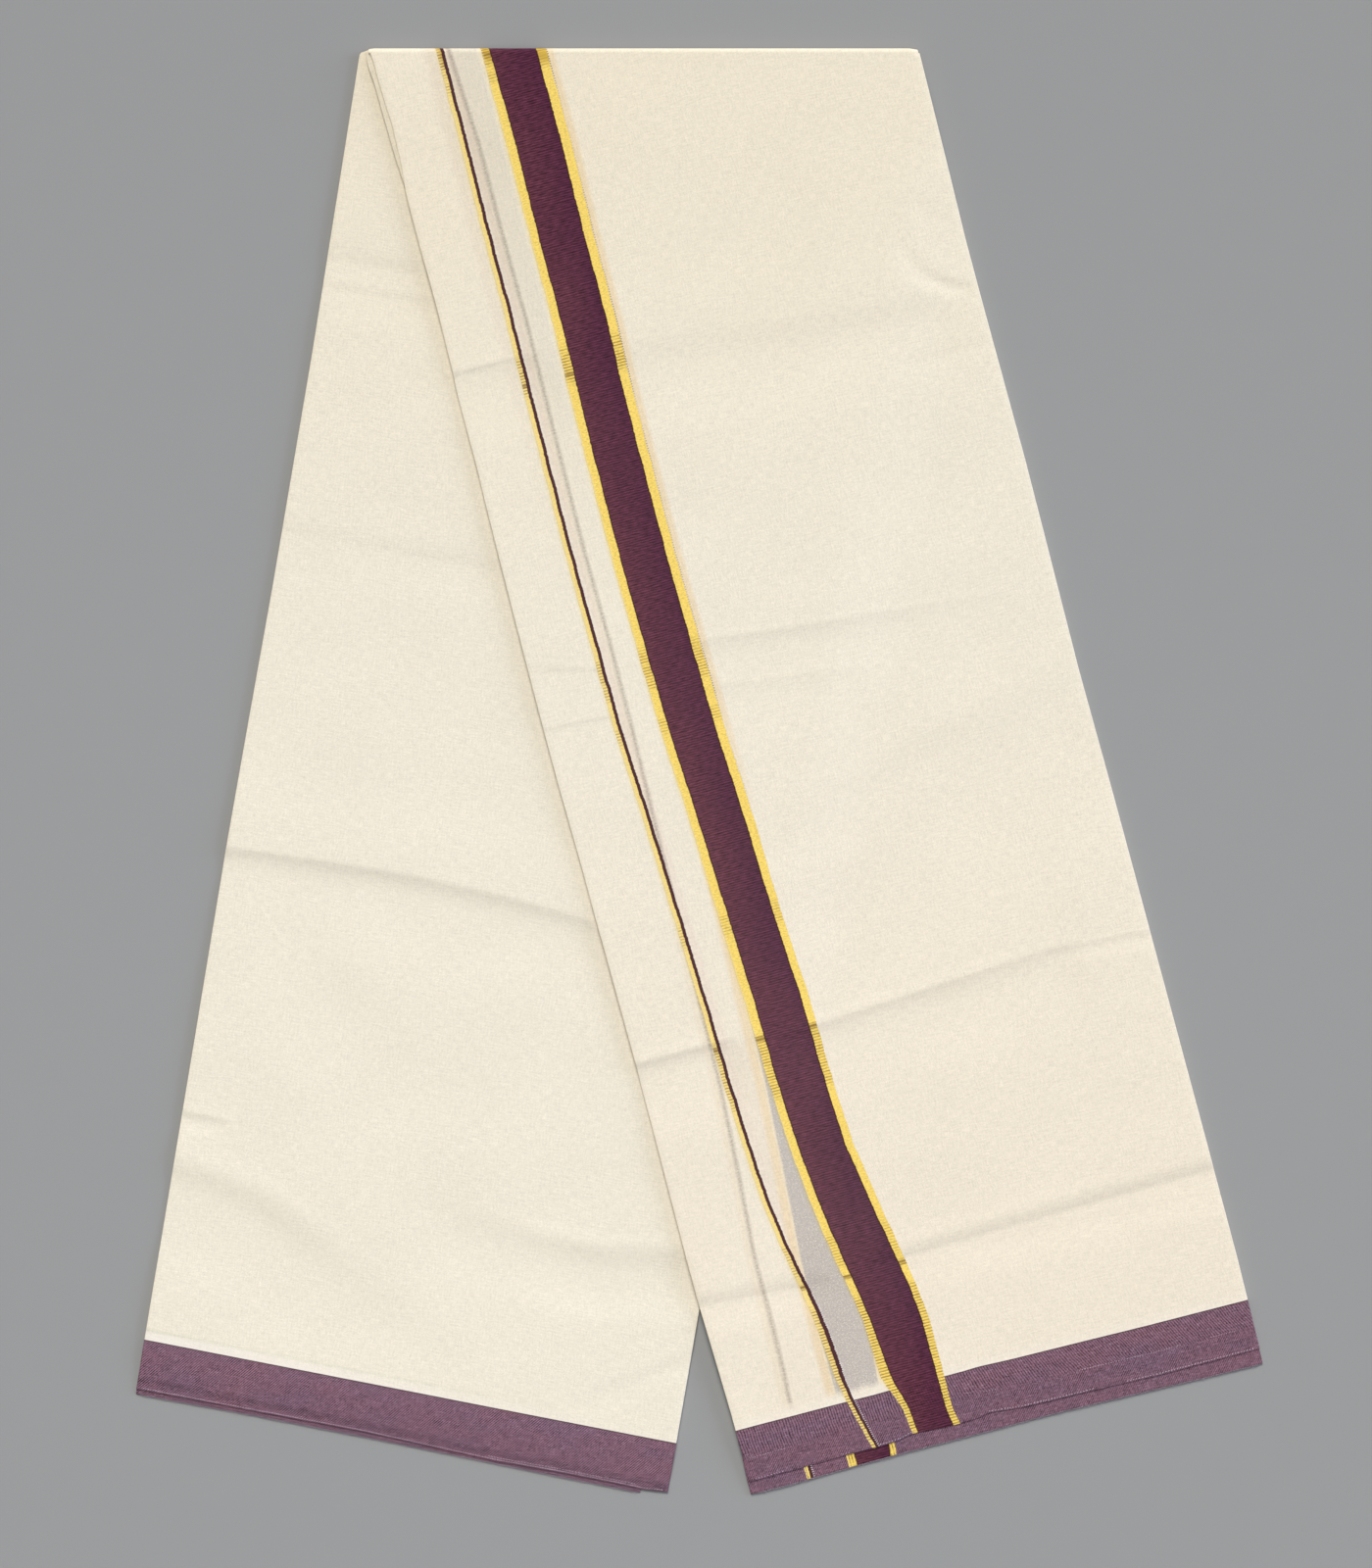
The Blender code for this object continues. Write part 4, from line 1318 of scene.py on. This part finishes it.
def make_materials():
    """All the cloth's materials, once."""
    if "cotton front" in bpy.data.materials:
        return
    stripe_group()
    weave_group()
    border_group()
    cream_material("cotton front", True, True)
    cream_material("cotton second", True, False)
    cream_material("cotton plain", False, False)
    band_material("band front", True)
    band_material("band second", True, crosswise=True)
    band_material("band plain", False)
    colours = bpy.context.scene.dhoti_colours
    for name, colour in (("pale thread", colours.thread), ("purple fibre", colours.fibre)):
        net = new_material(name)
        fuzz = net.clouds(object_place(net), 900.0, 900.0, 1.0)
        shade = net.add(fuzz, 0.5)
        surface(net, net.shaded(tuple(colour), shade), 0.8, fuzz, THREAD_BUMP)


def object_place(net):
    """Place in the object's own space."""
    return net.tree.nodes.new("ShaderNodeTexCoord").outputs["Object"]


def cloth_material(name):
    """A material by name, made if it isn't there yet."""
    make_materials()
    return bpy.data.materials[name]


# ---- the strips ----
def level(value):
    """The same value at any distance along."""
    return lambda along: value


def eased(start, low, end, high):
    """From low at one distance along to high at another."""
    return lambda along: blend(low, high, smoothstep((along - start) / (end - start)))


def tabled(table):
    """The value of a table in millimetres at a distance along."""
    return lambda along: read_table(table, along / MM) * MM


def front_strip():
    """The front layer that shows."""
    full = FRONT_TOP - SEAM
    return Strip(FRONT, FRONT_TOP, FRONT_FOLD,
                 eased(TUCK_END, FOLD_NEAR_TURN, ROLL_START, full),
                 eased(0.0, FOLD_AT_TURN_RIGHT, FOLD_EASE, full),
                 tabled(FRONT_LEFT_INSET), 0.0, BORDER,
                 End(FRONT_HEM_BOW, 0.060, FRONT_HEM, 0.0014, 0.030, FRONT_TURN))


def under_strip():
    """The second layer, whose fold shows near the turn and whose end shows below the hem."""
    drop = level(UNDER_TOP - FRONT_INNER - SEAM)
    return Strip(FRONT, UNDER_TOP, UNDER_FOLD, drop, drop, tabled(UNDER_LEFT_INSET), SEAM,
                 BORDER_BELOW, End(UNDER_HEM_BOW, 0.045, UNDER_HEM, 0.0010, 0.030, 0.0))


def back_strip():
    """The back layer that shows."""
    drop = level(BACK_TOP - SEAM)
    return Strip(BACK, BACK_TOP, BACK_FOLD, drop, drop, level(0.0), 0.0, None,
                 End(BACK_HEM_BOW, 0.042, BACK_HEM, 0.0015, 0.030, BACK_TURN))


def back_under_strip():
    """The layer that shows below the back hem."""
    drop = level(BACK_INNER - SEAM)
    return Strip(BACK, BACK_INNER, UNDER_FOLD, drop, drop, level(SEAM), BACK_UNDER_INSET, None,
                 End(BACK_UNDER_BOW, 0.030, BACK_UNDER_HEM, 0.0007, 0.020, 0.0))


def width_at(half, section):
    """The strip's width on a section."""
    return math.dist(*section_ends(half, section))


def lay(name, strip, rows, band, finish, nodes):
    """One layer of cloth, and what it stands for."""
    obj = add_sheet(name, strip, rows, band, cloth_material(finish))
    declare(obj, nodes)


def lay_folds(name, half, height, layers, rows, nodes):
    """The hidden folds of a half, and what they stand for."""
    obj = pressed_stack(name, half, height, layers, rows, cloth_material("cotton plain"))
    declare(obj, nodes)


def make_front():
    """The front half: the layer that shows, round the turn, the second one and hidden folds."""
    strip, second = front_strip(), under_strip()
    start = start_section(FRONT)
    band = short_of(FRONT_HEM, *FRONT_BAND)
    rows = turn_rows() + spread_rows(start, band, FRONT_ZONES)
    lay("front_cloth", strip, rows, band, "cotton front", ("front_fall", "top_turn"))
    rows = band_rows(band, FRONT_HEM, HEM_BEND, FRONT_TURN, HEM_FINE)
    lay("front_end_band_cloth", strip, rows, band, "band front", ("front_end_band",))
    band = short_of(UNDER_HEM, UNDER_BAND)
    lay("front_under_cloth", second, spread_rows(start, band, ()), band, "cotton second",
        ("front_under_fall",))
    rows = band_rows(band, UNDER_HEM, EDGE_BEND, 0.0, EDGE_FINE)
    lay("front_under_band_cloth", second, rows, band, "band second", ("front_under_end_band",))
    rows = spread_rows(start, short_of(FRONT_HEM, FRONT_FOLDS_SETBACK), ())
    lay_folds("front_folds", FRONT, FRONT_INNER, FRONT_FOLDS, rows, ("front_inner_folds",))


def make_back():
    """The back half: the layer that shows, the end that shows below it, and hidden folds."""
    strip = back_strip()
    start = start_section(BACK)
    band = short_of(BACK_HEM, *BACK_BAND)
    rows = start_rows(BACK, BACK_START_BEND)
    rows += spread_rows(short_of(start, -BACK_START_GAP), band, BACK_ZONES)
    lay("back_cloth", strip, rows, band, "cotton plain", ("back_fall",))
    rows = band_rows(band, BACK_HEM, HEM_BEND, BACK_TURN, HEM_FINE)
    lay("back_end_band_cloth", strip, rows, band, "band plain", ("back_end_band",))
    band = short_of(BACK_UNDER_HEM, UNDER_BAND)
    rows = band_rows(band, BACK_UNDER_HEM, EDGE_BEND, 0.0, EDGE_FINE)
    lay("back_under_band_cloth", back_under_strip(), rows, band, "band plain",
        ("back_under_end_band",))
    inner = short_of(BACK_HEM, BACK_FOLDS_SETBACK)
    rows = spread_rows(start, short_of(inner, BACK_FOLDS_CLEAR), ())
    lay_folds("back_folds", BACK, BACK_INNER, BACK_FOLDS, rows, ("back_inner_folds",))


def make_turn_folds():
    """The hidden folds inside the turn: nested bends of cloth."""
    bm = bmesh.new()
    start, end = TURN_LEFT + INNER_INSET, TURN_RIGHT - INNER_INSET
    for depth in TURN_LAYERS:
        rings = []
        for k in range(FOLD_COLUMNS + 1):
            part = k / FOLD_COLUMNS
            x = blend(start, end, part * part * (1.5 - 0.5 * part))
            reach = corner_reach(x - start)
            outer = turn_line(x, depth, reach)
            inner = turn_line(x, depth + TURN_LAYER_WALL, reach)
            rings.append([*outer, *reversed(inner), outer[0]])
        loft(bm, rings)
    add_map(bm, "threads", {vert: (vert.co.x, vert.co.y + vert.co.z) for vert in bm.verts})
    obj = new_piece("turn_folds", bm, cloth_material("cotton plain"))
    obj.data.set_sharp_from_angle(angle=math.radians(LOOP_CRISP))
    declare(obj, ("inner_turn",))


def turn_line(x, depth, reach):
    """Points round the turn at a depth inside it."""
    radius = TURN_RADIUS - depth
    points = []
    for k in range(TURN_STEPS + 1):
        angle = math.pi * k / TURN_STEPS
        points.append(Vector((x, TURN_LINE + radius * reach * math.sin(angle),
                              TURN_RADIUS + radius * math.cos(angle))))
    return points


# ---- threads on the hems ----
# up: above the hem; start, end and gaps: parts of the width; slant: in degrees; more stitches are
# missing where worn is lower
StitchLine = namedtuple("StitchLine", "strip up start end pitch length slant worn gaps")


def surface_point(strip, section, part):
    """Point of a strip's face on a section, and the direction across there."""
    row = Row(*section)
    ends = section_ends(strip.half, section)
    x, y = up_strip(strip.half, *across_row(ends, part), hem_shift(strip, row, part))
    z = settled(strip.half, x, y, strip.top + hem_lift(strip, row))
    (left_x, left_y), (right_x, right_y) = ends
    return Vector((x, y, z)), Vector((right_x - left_x, right_y - left_y, 0.0)).normalized()


def add_stitches(bm, line, radius):
    """A line of short slanted stitches, none over the gaps."""
    section = short_of(line.strip.end.hem, line.up)
    width = width_at(line.strip.half, section)
    count = int(width * (line.end - line.start) / line.pitch)
    for k in range(count):
        spread = noise.noise(Vector((k * 0.37, line.up * 900.0, 0.5)))
        part = blend(line.start, line.end, (k + 0.5 + spread * 0.35) / count)
        if any(low < part < high for low, high in line.gaps):
            continue
        worn = noise.noise(Vector((k * 0.045, line.up * 700.0, 2.5))) + line.worn
        if worn < 0.0:
            continue
        place, across = surface_point(line.strip, section, part)
        place.z += radius * STITCH_LIFT
        turn = across.to_track_quat("X", "Z").to_matrix().to_4x4()
        slant = Matrix.Rotation(math.radians(line.slant * (1.0 + spread)), 4, "Z")
        size = Matrix.Diagonal((line.length / 2 * (1.0 + 0.5 * spread), radius, radius, 1.0))
        matrix = Matrix.Translation(place) @ turn @ slant @ size
        bmesh.ops.create_icosphere(bm, subdivisions=1, radius=1.0, matrix=matrix)


def add_fibres(bm, strip, hem, start, end, count):
    """Loose fibres along a selvedge."""
    for k in range(count):
        spread = noise.noise(Vector((k * 0.73, 4.0, 0.5)))
        sideways = noise.noise(Vector((k * 0.91, 9.0, 0.5)))
        place, across = surface_point(strip, hem, blend(start, end, (k + 0.5 + spread) / count))
        length = FIBRE_LENGTH * (0.6 + 1.2 * abs(spread) + 0.3 * sideways)
        place.z = max(place.z - EDGE_BEND * (1.0 + sideways), FIBRE_RADIUS)
        out = across.cross(Vector((0.0, 0.0, 1.0))) + across * sideways * 1.6
        turn = out.to_track_quat("Z", "Y").to_matrix().to_4x4()
        matrix = Matrix.Translation(place + out.normalized() * (length / 2 - FIBRE_ROOT)) @ turn
        bmesh.ops.create_cone(bm, cap_ends=True, segments=3, radius1=FIBRE_RADIUS,
                              radius2=FIBRE_RADIUS * 0.3, depth=length, matrix=matrix)


def make_fibres():
    """Loose fibres where the plain ends show."""
    for name, strip, end in (("front_selvedge_fibres", under_strip(), 0.99),
                             ("back_selvedge_fibres", back_under_strip(), 0.945)):
        bm = bmesh.new()
        add_fibres(bm, strip, strip.end.hem, 0.01, end, FIBRES)
        obj = new_piece(name, bm, cloth_material("purple fibre"))
        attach(obj, "root")


def make_stitches():
    """Hem stitches of both halves."""
    front, back = front_strip(), back_strip()
    lines = (
        StitchLine(front, FRONT_TURN - HEM_OVERLAP, 0.01, 0.99, 0.0019, 0.0009, 24, 0.12,
                   ((0.22, 0.47),)),
        StitchLine(front, 0.0012, 0.01, 0.20, 0.0022, 0.0009, -20, 0.05, ()),
        StitchLine(front, 0.0012, 0.255, 0.99, 0.0021, 0.0016, 34, 0.25, ((0.33, 0.47),)),
        StitchLine(back, 0.0012, 0.01, 0.99, 0.0017, 0.0012, 34, 0.5, ()),
        StitchLine(back, 0.0026, 0.66, 0.94, 0.0021, 0.0012, -30, 0.2, ()),
    )
    bm = bmesh.new()
    for line in lines:
        add_stitches(bm, line, STITCH_RADIUS)
    obj = new_piece("hem_stitches", bm, cloth_material("pale thread"))
    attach(obj, "root")


# ---- stage ----
def add_sun(name, energy, height, side, width, colour):
    """Far light at a height and a side, in degrees, so many degrees wide."""
    sun = bpy.data.lights.new(name, "SUN")
    sun.energy = energy
    sun.angle = math.radians(width)
    sun.color = colour
    lamp = bpy.data.objects.new(name, sun)
    lamp.rotation_euler = (math.radians(height - 90.0), 0.0, math.radians(side))
    bpy.context.scene.collection.objects.link(lamp)


def make_floor(settings):
    """The floor that the cloth lies on."""
    bm = bmesh.new()
    bmesh.ops.create_grid(bm, x_segments=2, y_segments=2, size=settings.floor_reach)
    net = new_material("floor")
    shader = net.tree.nodes["Principled BSDF"]
    grain = net.clouds(object_place(net), 35.0, 35.0, 4.0)
    shade = net.line(grain, 0.02, 0.99)
    net.feed(shader.inputs["Base Color"], net.shaded(tuple(settings.floor_colour), shade))
    shader.inputs["Roughness"].default_value = 0.9
    shader.inputs["Specular IOR Level"].default_value = 0.1
    floor = new_piece("floor", bm, bpy.data.materials["floor"])


def make_light(settings):
    """Light from all round, two far lights and a lamp over the hems."""
    scene = bpy.context.scene
    world = bpy.data.worlds.new("soft light")
    world.use_nodes = True
    background = world.node_tree.nodes["Background"]
    background.inputs["Color"].default_value = (1.0, 1.0, 1.0, 1.0)
    background.inputs["Strength"].default_value = settings.ambient
    scene.world = world
    scene.view_settings.view_transform = "Standard"

    add_sun("key", settings.key, settings.key_height, settings.key_side, 24.0, KEY_COLOUR)
    add_sun("side", settings.side, settings.side_height, SIDE_SIDE, 30.0, SIDE_COLOUR)
    lamp = bpy.data.lights.new("fill", "AREA")
    lamp.shape = "DISK"
    lamp.size = FILL_SIZE
    lamp.energy = settings.fill
    lamp.color = FILL_COLOUR
    fill = bpy.data.objects.new("fill", lamp)
    fill.location = FILL_PLACE
    scene.collection.objects.link(fill)


def make_camera(settings):
    """Camera straight above the cloth."""
    scene = bpy.context.scene
    camera_data = bpy.data.cameras.new("camera")
    camera_data.sensor_width = SENSOR
    camera_data.lens = SENSOR * settings.camera_height / VIEW_HEIGHT
    camera_data.clip_end = 20.0
    camera = bpy.data.objects.new("camera", camera_data)
    camera.location = (*VIEW_MIDDLE, settings.camera_height)
    scene.collection.objects.link(camera)
    scene.camera = camera


def make_stage():
    """Floor, soft light and camera."""
    settings = bpy.context.scene.dhoti_stage
    make_floor(settings)
    make_light(settings)
    make_camera(settings)


# ---- settings ----
def colour_property(title, words, value):
    """A colour that the user may change."""
    return bpy.props.FloatVectorProperty(name=title, description=words, default=value,
                                         size=4, min=0.0, max=1.0, subtype="COLOR")


def number_property(title, words, value, least, most, **kind):
    """A number that the user may change."""
    return bpy.props.FloatProperty(name=title, description=words, default=value, min=least,
                                   max=most, **kind)


class DhotiSizes(bpy.types.PropertyGroup):
    """Sizes that may be changed without changing where the cloth lies."""
    wall: number_property("Wall", "Thickness of the cloth", 0.00038, 0.0002, 0.0006,
                          unit="LENGTH", precision=5)
    crease_depth: number_property(
        "Crease depth", "How deep the creases are, as a part of their own size", 2.0, 0.0, 3.0)


class DhotiColours(bpy.types.PropertyGroup):
    """Colours of the yarns."""
    cream: colour_property("Cream", "Unbleached cotton", (0.90, 0.822, 0.678, 1.0))
    gold: colour_property("Gold", "Gold yarn of the border", (0.97, 0.700, 0.160, 1.0))
    maroon: colour_property("Maroon", "Maroon yarn of the border", (0.122, 0.035, 0.053, 1.0))
    band: colour_property("End band", "Purple yarn of the end bands", (0.212, 0.107, 0.142, 1.0))
    band_blue: colour_property("End band, bluer", "Cooler yarn in the end bands",
                               (0.172, 0.108, 0.162, 1.0))
    thread: colour_property("Hem thread", "Thread of the hem stitches", (0.60, 0.46, 0.54, 1.0))
    fibre: colour_property("Fibre", "Loose fibres of the plain ends", (0.46, 0.36, 0.43, 1.0))


class DhotiStage(bpy.types.PropertyGroup):
    """Floor, light and camera."""
    floor_reach: number_property("Floor reach", "From the middle of the floor to its edge",
                                 6.0, 1.0, 20.0, unit="LENGTH")
    floor_colour: colour_property("Floor", "Colour of the floor", (0.330, 0.328, 0.325, 1.0))
    ambient: number_property("Ambient", "Light from all round", 0.26, 0.0, 2.0)
    key: number_property("Key", "Light from beyond the turned edge", 2.50, 0.0, 20.0)
    key_height: number_property(
        "Key height", "How high the key light stands, in degrees", 40.0, 5.0, 90.0)
    key_side: number_property(
        "Key side", "How far the key light stands to the left, in degrees", 6.0, -180.0, 180.0)
    side: number_property("Side", "Low light from the right", 1.50, 0.0, 20.0)
    side_height: number_property(
        "Side height", "How high the side light stands, in degrees", 16.0, 2.0, 90.0)
    fill: number_property("Fill", "Lamp over the hems, in watts", 5.0, 0.0, 100.0)
    camera_height: number_property("Camera height", "Height of the camera over the floor",
                                   4.0, 1.0, 10.0, unit="LENGTH")


# ---- operators ----
class DHOTI_OT_front(bpy.types.Operator):
    """Make the front half of the cloth, round the turn"""
    bl_idname = "dhoti.front"
    bl_label = "Front half"

    def execute(self, context):
        make_front()
        return {"FINISHED"}


class DHOTI_OT_back(bpy.types.Operator):
    """Make the back half of the cloth"""
    bl_idname = "dhoti.back"
    bl_label = "Back half"

    def execute(self, context):
        make_back()
        return {"FINISHED"}


class DHOTI_OT_turn(bpy.types.Operator):
    """Make the hidden folds inside the turn"""
    bl_idname = "dhoti.turn"
    bl_label = "Folds in the turn"

    def execute(self, context):
        make_turn_folds()
        return {"FINISHED"}


class DHOTI_OT_stitches(bpy.types.Operator):
    """Make the hem stitches and the loose fibres of the plain ends"""
    bl_idname = "dhoti.stitches"
    bl_label = "Hem stitches"

    def execute(self, context):
        make_stitches()
        make_fibres()
        return {"FINISHED"}


class DHOTI_OT_stage(bpy.types.Operator):
    """Make the floor, the lights and the camera"""
    bl_idname = "dhoti.stage"
    bl_label = "Stage"

    def execute(self, context):
        make_stage()
        return {"FINISHED"}


class DHOTI_PT_panel(bpy.types.Panel):
    """Operators and settings of the folded dhoti"""
    bl_label = "Folded dhoti"
    bl_idname = "DHOTI_PT_panel"
    bl_space_type = "VIEW_3D"
    bl_region_type = "UI"
    bl_category = "Dhoti"

    def draw(self, context):
        layout = self.layout
        for operator in OPERATORS:
            layout.operator(operator.bl_idname)
        for group in (context.scene.dhoti_sizes, context.scene.dhoti_colours,
                      context.scene.dhoti_stage):
            for name in group.bl_rna.properties.keys():
                if name not in {"rna_type", "name"}:
                    layout.prop(group, name)


OPERATORS = (DHOTI_OT_back, DHOTI_OT_front, DHOTI_OT_turn, DHOTI_OT_stitches, DHOTI_OT_stage)
GROUPS = (DhotiSizes, DhotiColours, DhotiStage)


def register():
    """Register the settings, the operators and the panel."""
    for cls in (*GROUPS, *OPERATORS, DHOTI_PT_panel):
        bpy.utils.register_class(cls)
    bpy.types.Scene.dhoti_sizes = bpy.props.PointerProperty(type=DhotiSizes)
    bpy.types.Scene.dhoti_colours = bpy.props.PointerProperty(type=DhotiColours)
    bpy.types.Scene.dhoti_stage = bpy.props.PointerProperty(type=DhotiStage)


def unregister():
    """Remove them again."""
    del bpy.types.Scene.dhoti_stage
    del bpy.types.Scene.dhoti_colours
    del bpy.types.Scene.dhoti_sizes
    for cls in reversed((*GROUPS, *OPERATORS, DHOTI_PT_panel)):
        bpy.utils.unregister_class(cls)


def main():
    """Build everything in order."""
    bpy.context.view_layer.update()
    register()
    bpy.ops.dhoti.back()
    bpy.ops.dhoti.front()
    bpy.ops.dhoti.turn()
    bpy.ops.dhoti.stitches()
    bpy.ops.dhoti.stage()


if __name__ == "__main__":
    main()
